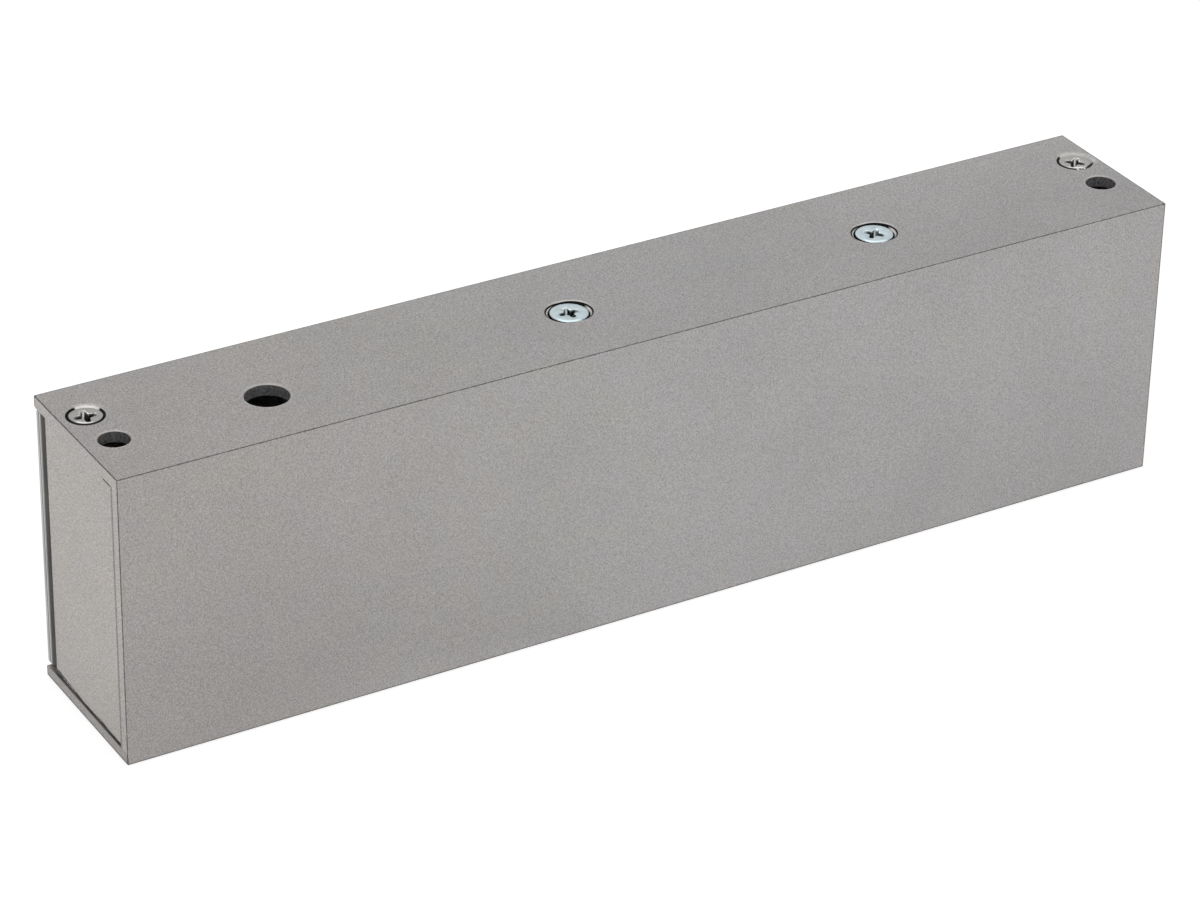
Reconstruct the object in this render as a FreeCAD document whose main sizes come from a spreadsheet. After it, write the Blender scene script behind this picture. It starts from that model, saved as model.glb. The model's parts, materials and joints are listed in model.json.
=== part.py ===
import FreeCAD, Part
import math
import os
import re
import Sketcher
from FreeCAD import Placement, Rotation, Vector

# A surface-mounted electromagnetic door lock, in millimetres.
# X runs along the lock, Y from its plain front face to the magnet's pole face, and Z up
# to the face that goes against the door frame. The origin is below the middle, at the base.
# An aluminium channel, open at the back, holds an E-shaped laminated core with its coil
# cast in resin, and a wiring bay beside it under the cable hole.

# Driving sizes. "From left", "from front" and "from end" count from the channel's own faces.
SIZES = [
    # channel
    ("housing_length", 228.0),
    ("housing_height", 60.0),
    ("housing_depth", 35.3),
    ("front_wall", 2.7),
    ("flange_wall", 2.4),
    ("edge_break", 0.2),
    ("lip_break", 0.5),
    # holes for the bolts into the door frame, and for the supply cable
    ("mount_from_end", 6.0),
    ("mount_from_front", 13.75),
    ("mount_hole", 6.0),
    ("cable_from_left", 37.1),
    ("cable_from_front", 15.0),
    ("cable_hole", 8.5),
    # end plates
    ("end_thickness", 2.3),
    ("end_recess", 0.3),
    ("end_fit", 0.1),
    ("end_gap_below", 0.15),
    ("end_back_step", 3.9),
    ("end_edge_break", 0.2),
    ("lug_reach", 6.0),
    ("lug_height", 8.0),
    ("lug_from_front", 19.0),
    # end screws
    ("end_screw_from_end", 5.1),
    ("end_screw_from_front", 23.9),
    ("end_screw_head", 6.6),
    ("end_screw_thread", 3.5),
    ("end_screw_length", 9.0),
    ("end_screw_sink", 7.4),
    ("end_screw_cross", 4.0),
    # core screws in slots that let the magnet be set along the channel
    ("core_screw_spacing", 68.6),
    ("core_screw_from_front", 16.7),
    ("core_screw_head", 7.45),
    ("core_screw_thread", 4.0),
    ("core_screw_length", 8.0),
    ("core_slot_width", 8.1),
    ("core_slot_travel", 1.1),
    ("core_screw_cross", 4.1),
    # what all countersunk screws share
    ("head_rim", 0.2),
    ("head_edge", 0.1),
    ("seat_gap", 0.03),
    ("thread_gap", 0.05),
    ("shank_gap", 0.2),
    ("thread_tip", 0.5),
    ("cross_arm", 0.9),
    ("cross_depth", 1.3),
    # rear plates
    ("cover_thickness", 1.5),
    ("cover_recess", 0.3),
    ("cover_gap", 0.35),
    ("cover_corner", 0.8),
    ("cover_seam", 0.25),
    ("cover_screw_from_end", 5.6),
    ("cover_screw_inset", 4.2),
    ("cover_screw_head", 5.2),
    ("cover_screw_thread", 3.0),
    ("cover_screw_length", 6.0),
    ("cover_screw_sink", 5.7),
    ("cover_screw_cross", 3.0),
    # partitions either side of the magnet
    ("bay_wall_thickness", 7.0),
    ("end_dam_thickness", 3.0),
    ("end_dam_gap", 0.5),
    ("partition_fit", 0.1),
    # core
    ("core_gap_below", 1.2),
    ("clamp_thickness", 2.0),
    ("outer_leg", 9.0),
    ("centre_leg", 18.0),
    ("back_iron", 10.8),
    ("pole_proud", 0.2),
    ("rivet_shank", 3.0),
    ("rivet_head", 5.0),
    ("rivet_head_height", 1.3),
    ("rivet_in_iron", 5.4),
    ("rivet_from_pole", 5.8),
    ("tapped_depth", 7.0),
    # coil
    ("former_wall", 1.0),
    ("former_flange", 1.0),
    ("former_corner", 1.5),
    ("wrap_thickness", 0.6),
    ("coil_recess", 3.0),
    ("coil_end_gap", 0.7),
    ("resin_below_edge", 0.5),
    # leads from the coil to the board
    ("lead_diameter", 1.8),
    ("lead_hole", 2.2),
    ("lead_from_front", 22.0),
    ("lead_pitch", 9.0),
    ("lead_drop_from_wall", 5.5),
    ("lead_bend", 4.0),
    # circuit board
    ("board_thickness", 1.6),
    ("board_width", 34.0),
    ("board_height", 40.0),
    ("board_from_left", 12.5),
    ("board_to_wall", 2.0),
    ("board_from_base", 5.0),
    ("board_corner", 1.5),
    ("standoff_height", 4.0),
    ("standoff_diameter", 5.5),
    ("board_screw_inset", 3.6),
    ("board_screw_thread", 2.5),
    ("board_screw_head", 4.6),
    ("board_screw_head_height", 1.6),
    ("board_screw_length", 5.0),
    # terminal block
    ("pole_pitch", 5.08),
    ("pole_wall", 0.7),
    ("block_depth", 10.0),
    ("block_height", 8.4),
    ("block_shoulder", 2.6),
    ("block_from_left", 27.0),
    ("block_from_board_top", 1.0),
    ("clamp_size", 3.4),
    ("clamp_wall", 0.6),
    ("clamp_height", 4.6),
    ("clamp_depth", 5.0),
    ("clamp_gap", 0.1),
    ("clamp_screw", 2.2),
    ("clamp_screw_head", 3.0),
    ("clamp_screw_length", 3.6),
    ("clamp_screw_slot", 0.6),
    # suppressors
    ("varistor_diameter", 9.0),
    ("varistor_thickness", 3.6),
    ("varistor_rise", 1.2),
    ("varistor_from_left", 24.0),
    ("varistor_from_base", 23.0),
    ("part_leg", 0.7),
    ("varistor_leg_pitch", 5.0),
    ("diode_diameter", 2.7),
    ("diode_length", 5.2),
    ("diode_rise", 0.6),
    ("diode_leg_pitch", 9.0),
    ("diode_from_left", 33.0),
    ("diode_from_base", 13.0),
]

doc = FreeCAD.newDocument("MagneticLock")
sheet = doc.addObject("Spreadsheet::Sheet", "Sizes")
for row, (alias, size) in enumerate(SIZES, 1):
    sheet.set(f"A{row}", alias)
    sheet.set(f"B{row}", str(size))
    sheet.setAlias(f"B{row}", alias)
doc.recompute()

ALIASES = {alias for alias, size in SIZES}
DOWN = Rotation()
BACKWARD = Rotation(Vector(1, 0, 0), -90)
TURNED_OVER = Rotation(Vector(0, 1, 0), 180)
ALONG = Rotation(Vector(0, 1, 0), 90)
QUARTER = math.pi / 2
FULL_TURN = 360.0
SINK_ANGLE = 90.0
CROSS_TAPER = 12.0
CLOSE = 0.001

# Lengths that several pieces share, as formulas over the sheet.
INNER_HEIGHT = "(housing_height - 2 * flange_wall)"
CORE_HEIGHT = "(" + INNER_HEIGHT + " - core_gap_below)"
CORE_MIDDLE = "(housing_height - flange_wall - " + CORE_HEIGHT + " / 2)"
SLOT_WIDTH = "((" + CORE_HEIGHT + " - centre_leg) / 2 - outer_leg)"
BAY_RIGHT = "(board_from_left + board_width + board_to_wall)"
BAY_WALL_MIDDLE = "(" + BAY_RIGHT + " + bay_wall_thickness / 2)"
CAST_LEFT = "(" + BAY_RIGHT + " + bay_wall_thickness)"
LUG_END = "(end_recess + end_thickness + lug_reach)"
CAST_RIGHT = "(housing_length - " + LUG_END + " - end_dam_gap - end_dam_thickness)"
CAST_LENGTH = "(" + CAST_RIGHT + " - " + CAST_LEFT + ")"
CORE_CENTRE = "((" + CAST_LEFT + " + " + CAST_RIGHT + ") / 2)"
CLAMPED_HALF = "(" + CAST_LENGTH + " / 2 - coil_end_gap - " + SLOT_WIDTH + ")"
STACK_HALF = "(" + CLAMPED_HALF + " - clamp_thickness)"
COVER_SEAT = "(housing_depth - cover_recess - cover_thickness)"
COVER_SCREW_RISE = "(" + INNER_HEIGHT + " / 2 - cover_screw_inset)"
COVER_SCREW_HOLE = "(cover_screw_length - cover_thickness + thread_tip)"
PLATE_HEIGHT = "(housing_height - 2 * flange_wall - end_fit - end_gap_below)"
PLATE_MIDDLE = "(flange_wall + end_gap_below + " + PLATE_HEIGHT + " / 2)"
POLE_FACE = "(housing_depth + pole_proud - front_wall)"
COIL_BUILD = "(" + SLOT_WIDTH + " - former_wall - wrap_thickness)"
WINDING_START = "(back_iron + former_flange)"
WINDING_DEPTH = "(" + POLE_FACE + " - " + WINDING_START + " - former_flange - coil_recess)"
WINDING_CORNER = "(former_corner + " + COIL_BUILD + ")"
WRAP_CORNER = "(" + WINDING_CORNER + " + wrap_thickness)"
BOARD_FACE = "(front_wall + standoff_height + board_thickness)"
BLOCK_TOP = "(board_from_base + board_height - block_from_board_top)"
CLAMP_MIDDLE = "(" + BLOCK_TOP + " - pole_wall - clamp_height / 2)"


def sized(formula):
    """The formula with every size name pointing at its cell in the sheet."""
    return re.sub(
        r"[a-z_]+", lambda word: "Sizes." + word[0] if word[0] in ALIASES else word[0], formula
    )


def value(formula):
    """The number that a formula gives at the present sizes."""
    return float(sheet.evalExpression(sized(formula)))


def bind(item, path, formula):
    """Ties one property of an object to a formula over the sheet."""
    item.setExpression(path, sized(formula))


def place(item, across, back, up, turn=DOWN):
    """Puts an object's own origin at a point counted from the channel's left, front and base."""
    item.Placement = Placement(Vector(), turn)
    bind(item, "Placement.Base.x", f"({across}) - housing_length / 2")
    bind(item, "Placement.Base.y", f"({back}) - (housing_depth + pole_proud) / 2")
    bind(item, "Placement.Base.z", up)


def new_body(label):
    body = doc.addObject("PartDesign::Body", label)
    body.Label = label
    return body


def new_sketch(body, name, role, offset="0"):
    """A sketch on one of the body's own origin planes, lifted along the plane's normal."""
    drawing = body.newObject("Sketcher::SketchObject", name)
    plane = next(item for item in body.Origin.OriginFeatures if item.Role == role)
    drawing.AttachmentSupport = (plane, [""])
    drawing.MapMode = "FlatFace"
    bind(drawing, "AttachmentOffset.Base.z", offset)
    return drawing


def tie(drawing, kind, formula, *ends):
    """A driving dimension of a sketch, bound to a formula."""
    index = drawing.addConstraint(Sketcher.Constraint(kind, *ends, value(formula)))
    bind(drawing, f"Constraints[{index}]", formula)


def tie_point(drawing, geometry, point, across, up):
    tie(drawing, "DistanceX", across, -1, 1, geometry, point)
    tie(drawing, "DistanceY", up, -1, 1, geometry, point)


def polygon(drawing, corners):
    points = [Vector(value(across), value(up), 0) for across, up in corners]
    first = drawing.GeometryCount
    count = len(points)
    for turn in range(count):
        drawing.addGeometry(Part.LineSegment(points[turn], points[(turn + 1) % count]), False)
    for turn, (across, up) in enumerate(corners):
        last = first + (turn - 1) % count
        drawing.addConstraint(Sketcher.Constraint("Coincident", last, 2, first + turn, 1))
        tie_point(drawing, first + turn, 1, across, up)


def rectangle(drawing, left, right, low, high):
    polygon(drawing, [(left, low), (right, low), (right, high), (left, high)])


def circle(drawing, across, up, diameter):
    ring = Part.Circle(Vector(value(across), value(up), 0), Vector(0, 0, 1), value(diameter) / 2)
    index = drawing.addGeometry(ring, False)
    tie_point(drawing, index, 3, across, up)
    tie(drawing, "Diameter", diameter, index)


def rounded(drawing, half_across, half_up, radius):
    """A rectangle with round corners about the sketch's own origin."""
    reach = Vector(value(half_across), value(half_up), 0)
    corner = value(radius)
    first = drawing.GeometryCount
    signs = [(1, 1), (-1, 1), (-1, -1), (1, -1)]
    for turn, (side, rise) in enumerate(signs):
        centre = Vector(side * (reach.x - corner), rise * (reach.y - corner), 0)
        ring = Part.Circle(centre, Vector(0, 0, 1), corner)
        start = turn * QUARTER
        drawing.addGeometry(Part.ArcOfCircle(ring, start, start + QUARTER), False)
    for turn in range(4):
        start = drawing.Geometry[first + turn].EndPoint
        finish = drawing.Geometry[first + (turn + 1) % 4].StartPoint
        drawing.addGeometry(Part.LineSegment(start, finish), False)
    for turn, (side, rise) in enumerate(signs):
        line = first + 4 + turn
        following = first + (turn + 1) % 4
        drawing.addConstraint(Sketcher.Constraint("Tangent", first + turn, 2, line, 1))
        drawing.addConstraint(Sketcher.Constraint("Tangent", line, 2, following, 1))
        tie(drawing, "Radius", radius, first + turn)
        drawing.addConstraint(Sketcher.Constraint("Vertical" if turn % 2 else "Horizontal", line))
        if turn % 2 == 0:
            tie(drawing, "DistanceY", f"{rise} * ({half_up})", -1, 1, line, 1)
        else:
            tie(drawing, "DistanceX", f"{side} * ({half_across})", -1, 1, line, 1)


def feature(body, kind, name, drawing, length=None, through=False, reverse=False, middle=False):
    """A pad or pocket of a sketch, with its length bound."""
    step = body.newObject(f"PartDesign::{kind}", name)
    step.Profile = (drawing, [""])
    step.Reversed = reverse
    if middle:
        step.SideType = "Symmetric"
    if through:
        step.Type = "ThroughAll"
    else:
        bind(step, "Length", length)
    doc.recompute()
    return step


def pad(body, name, drawing, length, **options):
    return feature(body, "Pad", name, drawing, length, **options)


def pocket(body, name, drawing, length=None, **options):
    """A pocket that has to take material away."""
    before = body.Shape.Volume
    step = feature(body, "Pocket", name, drawing, length, through=length is None, **options)
    if body.Shape.Volume >= before:
        raise RuntimeError(f"{body.Label}: {name} cuts nothing")
    return step


def revolve(body, name, drawing):
    step = body.newObject("PartDesign::Revolution", name)
    step.Profile = (drawing, [""])
    step.ReferenceAxis = (drawing, ["V_Axis"])
    step.Angle = FULL_TURN
    doc.recompute()
    return step


def chamfer(body, name, wanted, size):
    """A chamfer on those edges of the body's present shape that pass a test."""
    base = body.Tip
    edges = [f"Edge{n}" for n, edge in enumerate(base.Shape.Edges, 1) if wanted(edge)]
    step = body.newObject("PartDesign::Chamfer", name)
    step.Base = (base, edges)
    bind(step, "Size", size)
    doc.recompute()
    return step


def countersinks(body, name, drawing, shank, mouth, depth=None, reverse=False):
    """Holes with a cone down from the face that the sketch lies on."""
    before = body.Shape.Volume
    hole = body.newObject("PartDesign::Hole", name)
    hole.Profile = (drawing, [""])
    hole.Reversed = reverse
    hole.DrillPoint = "Flat"
    hole.HoleCutType = "Countersink"
    hole.HoleCutCustomValues = True
    hole.HoleCutCountersinkAngle = SINK_ANGLE
    bind(hole, "Diameter", shank)
    bind(hole, "HoleCutDiameter", mouth)
    if depth is None:
        hole.DepthType = "ThroughAll"
    else:
        hole.DepthType = "Dimension"
        bind(hole, "Depth", depth)
    doc.recompute()
    if body.Shape.Volume >= before:
        raise RuntimeError(f"{body.Label}: {name} cuts nothing")
    return hole


def group(label, pieces):
    """One node of separate solids."""
    together = doc.addObject("Part::Compound", label)
    together.Label = label
    together.Links = pieces
    return together


def copies(master, label, places):
    """Copies of one fastener, each with its own place, as one node."""
    links = []
    for number, (across, back, up, turn) in enumerate(places, 1):
        link = doc.addObject("App::Link", f"{label}_{number}")
        link.setLink(master)
        place(link, across, back, up, turn)
        links.append(link)
    return group(label, links)


def make_housing():
    """The channel: front wall, top flange and bottom flange from one extruded profile."""
    body = new_body("housing")
    place(body, "housing_length / 2", "0", "0")
    profile = new_sketch(body, "channel_profile", "YZ_Plane")
    polygon(profile, [
        ("0", "0"),
        ("housing_depth", "0"),
        ("housing_depth", "flange_wall - lip_break"),
        ("housing_depth - lip_break", "flange_wall"),
        ("front_wall", "flange_wall"),
        ("front_wall", "housing_height - flange_wall"),
        ("housing_depth - lip_break", "housing_height - flange_wall"),
        ("housing_depth", "housing_height - flange_wall + lip_break"),
        ("housing_depth", "housing_height"),
        ("0", "housing_height"),
    ])
    pad(body, "channel", profile, "housing_length", middle=True)
    box = body.Tip.Shape.BoundBox
    outer_faces = ((box.XMin, box.XMax), (box.YMin, box.YMax), (box.ZMin, box.ZMax))

    def where_outer_faces_meet(edge):
        faces = 0
        for axis, limits in enumerate(outer_faces):
            for limit in limits:
                faces += all(abs(vertex.Point[axis] - limit) < CLOSE for vertex in edge.Vertexes)
        return faces >= 2

    chamfer(body, "broken_edges", where_outer_faces_meet, "edge_break")

    bolts = new_sketch(body, "mounting_bolt_axes", "XY_Plane", "housing_height")
    for side in ("-", ""):
        across = f"{side}(housing_length / 2 - mount_from_end)"
        circle(bolts, across, "mount_from_front", "mount_hole")
    countersinks(body, "mounting_holes", bolts, "mount_hole", "mount_hole + 2 * edge_break")

    entry = new_sketch(body, "cable_axis", "XY_Plane", "housing_height")
    circle(entry, "cable_from_left - housing_length / 2", "cable_from_front", "cable_hole")
    countersinks(
        body, "cable_entry", entry, "cable_hole", "cable_hole + 2 * edge_break", "2 * flange_wall"
    )

    ends = new_sketch(body, "end_screw_axes", "XY_Plane", "housing_height")
    for side in ("-", ""):
        across = f"{side}(housing_length / 2 - end_screw_from_end)"
        circle(ends, across, "end_screw_from_front", "end_screw_thread")
    countersinks(
        body,
        "end_screw_sinks",
        ends,
        "end_screw_thread + 2 * shank_gap",
        "end_screw_sink",
        "2 * flange_wall",
    )
    cut_core_slots(body)
    return body


def core_slot_sketch(body, name, width):
    """Two short slots along the channel, one over each core screw."""
    drawing = new_sketch(body, name, "XY_Plane", "housing_height")
    for side in ("-", "+"):
        across = f"{CORE_CENTRE} - housing_length / 2 {side} core_screw_spacing / 2"
        slot_outline(drawing, across, "core_screw_from_front", "core_slot_travel", width)
    return drawing


def slot_outline(drawing, across, up, travel, width):
    """A slot along the sketch's first axis: two half rounds and two straights."""
    middle = Vector(value(across), value(up), 0)
    reach = Vector(value(travel) / 2, 0, 0)
    half = Vector(0, value(width) / 2, 0)
    first = drawing.GeometryCount
    for side, start in ((1, -QUARTER), (-1, QUARTER)):
        ring = Part.Circle(middle + reach * side, Vector(0, 0, 1), half.y)
        drawing.addGeometry(Part.ArcOfCircle(ring, start, start + 2 * QUARTER), False)
    for side in (1, -1):
        start = middle + reach * side + half * side
        finish = middle - reach * side + half * side
        drawing.addGeometry(Part.LineSegment(start, finish), False)
    right, left, upper, lower = range(first, first + 4)
    for one, other in ((right, upper), (upper, left), (left, lower), (lower, right)):
        drawing.addConstraint(Sketcher.Constraint("Tangent", one, 2, other, 1))
    tie_point(drawing, right, 3, f"({across}) + ({travel}) / 2", up)
    tie_point(drawing, left, 3, f"({across}) - ({travel}) / 2", up)
    tie(drawing, "Diameter", width, right)


def cut_core_slots(body):
    """Slots with sloping flanks for the heads of the core screws."""
    shank = "core_screw_thread + 2 * shank_gap"
    flanks = core_slot_sketch(body, "core_slot_mouths", "core_slot_width")
    sink = pocket(body, "core_slot_flanks", flanks, f"(core_slot_width - ({shank})) / 2")
    sink.TaperAngle = -SINK_ANGLE / 2
    doc.recompute()
    through = core_slot_sketch(body, "core_slot_shanks", shank)
    pocket(body, "core_slots", through, "2 * flange_wall")


def make_end_plate(label, turned_over):
    """A plate set in between the flanges, with two tapped lugs on its inner side.

    Its own X runs inward from its outer face and its Z counts from its middle height, so the
    other end takes the same plate turned over.
    """
    body = new_body(label)
    if turned_over:
        place(body, "housing_length - end_recess", "0", PLATE_MIDDLE, TURNED_OVER)
    else:
        place(body, "end_recess", "0", PLATE_MIDDLE)
    face = new_sketch(body, "plate_outline", "YZ_Plane")
    front = "front_wall + end_fit"
    rectangle(
        face, front, "housing_depth - end_back_step", f"-{PLATE_HEIGHT} / 2", f"{PLATE_HEIGHT} / 2"
    )
    pad(body, "plate", face, "end_thickness")

    def on_outer_face(edge):
        return all(abs(vertex.Point.x) < CLOSE for vertex in edge.Vertexes)

    chamfer(body, "outer_edges", on_outer_face, "end_edge_break")

    lugs = new_sketch(body, "lug_outlines", "YZ_Plane", "end_thickness")
    for side in ("-", ""):
        rectangle(
            lugs,
            "lug_from_front",
            COVER_SEAT,
            f"{side}({PLATE_HEIGHT} / 2 - lug_height)",
            f"{side}{PLATE_HEIGHT} / 2",
        )
    pad(body, "lugs", lugs, "lug_reach")

    vertical = new_sketch(body, "end_screw_axis", "XY_Plane", f"{PLATE_HEIGHT} / 2")
    tapped = "end_screw_thread + 2 * thread_gap"
    circle(vertical, "end_screw_from_end - end_recess", "end_screw_from_front", tapped)
    pocket(body, "end_screw_threads", vertical)

    rear = new_sketch(body, "cover_screw_axes", "XZ_Plane", f"-{COVER_SEAT}")
    for side in ("-", ""):
        circle(
            rear,
            "cover_screw_from_end - end_recess",
            f"{side}{COVER_SCREW_RISE}",
            "cover_screw_thread + 2 * thread_gap",
        )
    pocket(body, "cover_screw_threads", rear, COVER_SCREW_HOLE, reverse=True)
    return body


def make_screw(label, size):
    """A countersunk cross-recessed screw, head up, with its axis along Z and its top at zero."""
    head, thread, length, cross = (f"{size}_{word}" for word in ("head", "thread", "length", "cross"))
    body = new_body(label)
    half = new_sketch(body, "half_profile", "XZ_Plane")
    polygon(half, [
        ("0", "0"),
        (f"{head} / 2 - head_edge", "0"),
        (f"{head} / 2", "-head_edge"),
        (f"{head} / 2", "-head_rim"),
        (f"{thread} / 2", f"-head_rim - ({head} - {thread}) / 2"),
        (f"{thread} / 2", f"thread_tip - {length}"),
        (f"{thread} / 2 - thread_tip", f"-{length}"),
        ("0", f"-{length}"),
    ])
    revolve(body, "turned", half)
    arms = new_sketch(body, "cross_outline", "XY_Plane")
    reach = f"{cross} / 2"
    arm = "cross_arm / 2"
    corners = []
    for across, up in ((1, 0), (0, 1), (-1, 0), (0, -1)):
        corners.append((f"{across} * {reach} + {up} * {arm}", f"{up} * {reach} - {across} * {arm}"))
        corners.append((f"{across} * {reach} - {up} * {arm}", f"{up} * {reach} + {across} * {arm}"))
        turned_across, turned_up = across - up, up + across
        corners.append((f"{turned_across} * {arm}", f"{turned_up} * {arm}"))
    polygon(arms, corners)
    recess = pocket(body, "cross_recess", arms, "cross_depth")
    recess.TaperAngle = -CROSS_TAPER
    doc.recompute()
    return body


def sunk(size, mouth):
    """How far a countersunk head's top lies below the face around its sink."""
    return f"(({mouth} - {size}_head) / 2 - head_rim - seat_gap)"


def make_end_screws():
    master = make_screw("end_screw_pattern", "end_screw")
    top = f"housing_height - {sunk('end_screw', 'end_screw_sink')}"
    return copies(master, "end_screws", [
        ("end_screw_from_end", "end_screw_from_front", top, DOWN),
        ("housing_length - end_screw_from_end", "end_screw_from_front", top, DOWN),
    ])


def make_core_screws():
    master = make_screw("core_screw_pattern", "core_screw")
    top = f"housing_height - {sunk('core_screw', 'core_slot_width')}"
    return copies(master, "core_screws", [
        (f"{CORE_CENTRE} {side} core_screw_spacing / 2", "core_screw_from_front", top, DOWN)
        for side in ("-", "+")
    ])


def make_rear_plate(label, left, right, screw_columns):
    """A thin plate between the flanges, just inside their back edges."""
    body = new_body(label)
    place(body, f"(({left}) + ({right})) / 2", COVER_SEAT, "housing_height / 2")
    outline = new_sketch(body, "outline", "XZ_Plane")
    half_width = f"(({right}) - ({left})) / 2"
    rounded(outline, half_width, f"({INNER_HEIGHT} / 2 - cover_gap)", "cover_corner")
    pad(body, "plate", outline, "cover_thickness", reverse=True)
    axes = new_sketch(body, "screw_axes", "XZ_Plane", "-cover_thickness")
    for column in screw_columns:
        for side in ("-", "+"):
            across = f"({column}) - (({left}) + ({right})) / 2"
            up = f"{PLATE_MIDDLE} - housing_height / 2 {side} {COVER_SCREW_RISE}"
            circle(axes, across, up, "cover_screw_thread")
    shank = "cover_screw_thread + 2 * shank_gap"
    countersinks(body, "screw_sinks", axes, shank, "cover_screw_sink", reverse=True)
    return body


def make_cover_screws():
    master = make_screw("cover_screw_pattern", "cover_screw")
    back = f"{COVER_SEAT} + cover_thickness - {sunk('cover_screw', 'cover_screw_sink')}"
    columns = [
        "cover_screw_from_end",
        BAY_WALL_MIDDLE,
        "housing_length - cover_screw_from_end",
    ]
    return copies(master, "cover_screws", [
        (column, back, f"{PLATE_MIDDLE} {side} {COVER_SCREW_RISE}", BACKWARD)
        for column in columns
        for side in ("-", "+")
    ])


def make_partition(label, left, thickness):
    """A plate across the channel, from the front wall to the seat of the rear plates."""
    body = new_body(label)
    place(body, left, "0", "housing_height / 2")
    outline = new_sketch(body, "outline", "YZ_Plane")
    half = f"({INNER_HEIGHT} / 2 - partition_fit)"
    rectangle(outline, "front_wall", COVER_SEAT, f"-{half}", half)
    pad(body, "plate", outline, thickness)
    return body


def make_bay_wall():
    """The thicker partition, tapped for the terminal cover and drilled for the coil leads."""
    body = make_partition("bay_wall", BAY_RIGHT, "bay_wall_thickness")
    rear = new_sketch(body, "cover_screw_axes", "XZ_Plane", f"-{COVER_SEAT}")
    for side in ("-", "+"):
        up = f"{PLATE_MIDDLE} - housing_height / 2 {side} {COVER_SCREW_RISE}"
        circle(rear, "bay_wall_thickness / 2", up, "cover_screw_thread + 2 * thread_gap")
    pocket(body, "cover_screw_threads", rear, COVER_SCREW_HOLE, reverse=True)
    across = new_sketch(body, "lead_axes", "YZ_Plane")
    for side in ("-", "+"):
        up = f"{CORE_MIDDLE} - housing_height / 2 {side} lead_pitch / 2"
        circle(across, "lead_from_front", up, "lead_hole")
    pocket(body, "lead_holes", across, reverse=True)
    return body


def e_outline(drawing):
    """The E of one lamination: the back iron against the front wall, three legs to the rear."""
    half = f"{CORE_HEIGHT} / 2"
    leg = f"({half} - outer_leg)"
    pole = "centre_leg / 2"
    polygon(drawing, [
        ("0", f"-{half}"),
        (POLE_FACE, f"-{half}"),
        (POLE_FACE, f"-{leg}"),
        ("back_iron", f"-{leg}"),
        ("back_iron", f"-{pole}"),
        (POLE_FACE, f"-{pole}"),
        (POLE_FACE, pole),
        ("back_iron", pole),
        ("back_iron", leg),
        (POLE_FACE, leg),
        (POLE_FACE, half),
        ("0", half),
    ])


def rivet_places():
    """Where the rivets run, counted back from the core's front face and up from its middle."""
    in_leg = f"({CORE_HEIGHT} / 2 - outer_leg / 2)"
    depths = ("rivet_in_iron", f"{POLE_FACE} - rivet_from_pole")
    return [(depth, f"{side}{in_leg}") for depth in depths for side in ("-", "")]


def drill_rivet_holes(body):
    axes = new_sketch(body, "rivet_axes", "YZ_Plane", f"2 * {STACK_HALF}")
    for depth, up in rivet_places():
        circle(axes, depth, up, "rivet_shank")
    pocket(body, "rivet_holes", axes)


def make_core_space():
    """The whole space of the stack and its clamp plates, which the resin flows round."""
    body = new_body("core_space")
    place(body, CORE_CENTRE, "front_wall", CORE_MIDDLE)
    outline = new_sketch(body, "outline", "YZ_Plane")
    e_outline(outline)
    pad(body, "space", outline, f"2 * {CLAMPED_HALF}", middle=True)
    return body


def make_core_stack():
    """The laminations, pressed and riveted into one block, tapped for the two core screws."""
    body = new_body("core_stack")
    place(body, CORE_CENTRE, "front_wall", CORE_MIDDLE)
    outline = new_sketch(body, "lamination", "YZ_Plane")
    e_outline(outline)
    pad(body, "stack", outline, f"2 * {STACK_HALF}", middle=True)
    drill_rivet_holes(body)
    top = new_sketch(body, "screw_axes", "XY_Plane", f"{CORE_HEIGHT} / 2")
    for side in ("-", ""):
        across = f"{side}core_screw_spacing / 2"
        depth = "core_screw_from_front - front_wall"
        circle(top, across, depth, "core_screw_thread + 2 * thread_gap")
    pocket(body, "screw_threads", top, "tapped_depth")
    return body


def make_clamp_plates():
    """A thick E plate at each end of the stack."""
    master = new_body("clamp_plate_pattern")
    outline = new_sketch(master, "plate_outline", "YZ_Plane")
    e_outline(outline)
    pad(master, "plate", outline, "clamp_thickness")
    drill_rivet_holes(master)
    return copies(master, "core_clamp_plates", [
        (f"{CORE_CENTRE} - {CLAMPED_HALF}", "front_wall", CORE_MIDDLE, DOWN),
        (f"{CORE_CENTRE} + {STACK_HALF}", "front_wall", CORE_MIDDLE, DOWN),
    ])


def make_rivets():
    """Rivets with a head at each end, through the laminations and both clamp plates."""
    master = new_body("rivet_pattern")
    half = new_sketch(master, "half_profile", "XZ_Plane")
    polygon(half, [
        ("0", f"-{CLAMPED_HALF} - rivet_head_height"),
        ("rivet_head / 2 - rivet_head_height / 2", f"-{CLAMPED_HALF} - rivet_head_height"),
        ("rivet_head / 2", f"-{CLAMPED_HALF}"),
        ("rivet_shank / 2", f"-{CLAMPED_HALF}"),
        ("rivet_shank / 2", CLAMPED_HALF),
        ("rivet_head / 2", CLAMPED_HALF),
        ("rivet_head / 2 - rivet_head_height / 2", f"{CLAMPED_HALF} + rivet_head_height"),
        ("0", f"{CLAMPED_HALF} + rivet_head_height"),
    ])
    revolve(master, "turned", half)
    return copies(master, "core_rivets", [
        (CORE_CENTRE, f"front_wall + {depth}", f"{CORE_MIDDLE} + {up}", ALONG)
        for depth, up in rivet_places()
    ])


def coil_ring(body, name, start, outward, corner, length):
    """A racetrack pad round the middle pole, standing outward from the former's inside."""
    ring = new_sketch(body, name + "_outline", "XZ_Plane", f"-({start})")
    half_along = f"({CLAMPED_HALF} + {outward})"
    half_up = f"(centre_leg / 2 + {outward})"
    rounded(ring, half_along, half_up, corner)
    return pad(body, name, ring, length, reverse=True)


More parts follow.
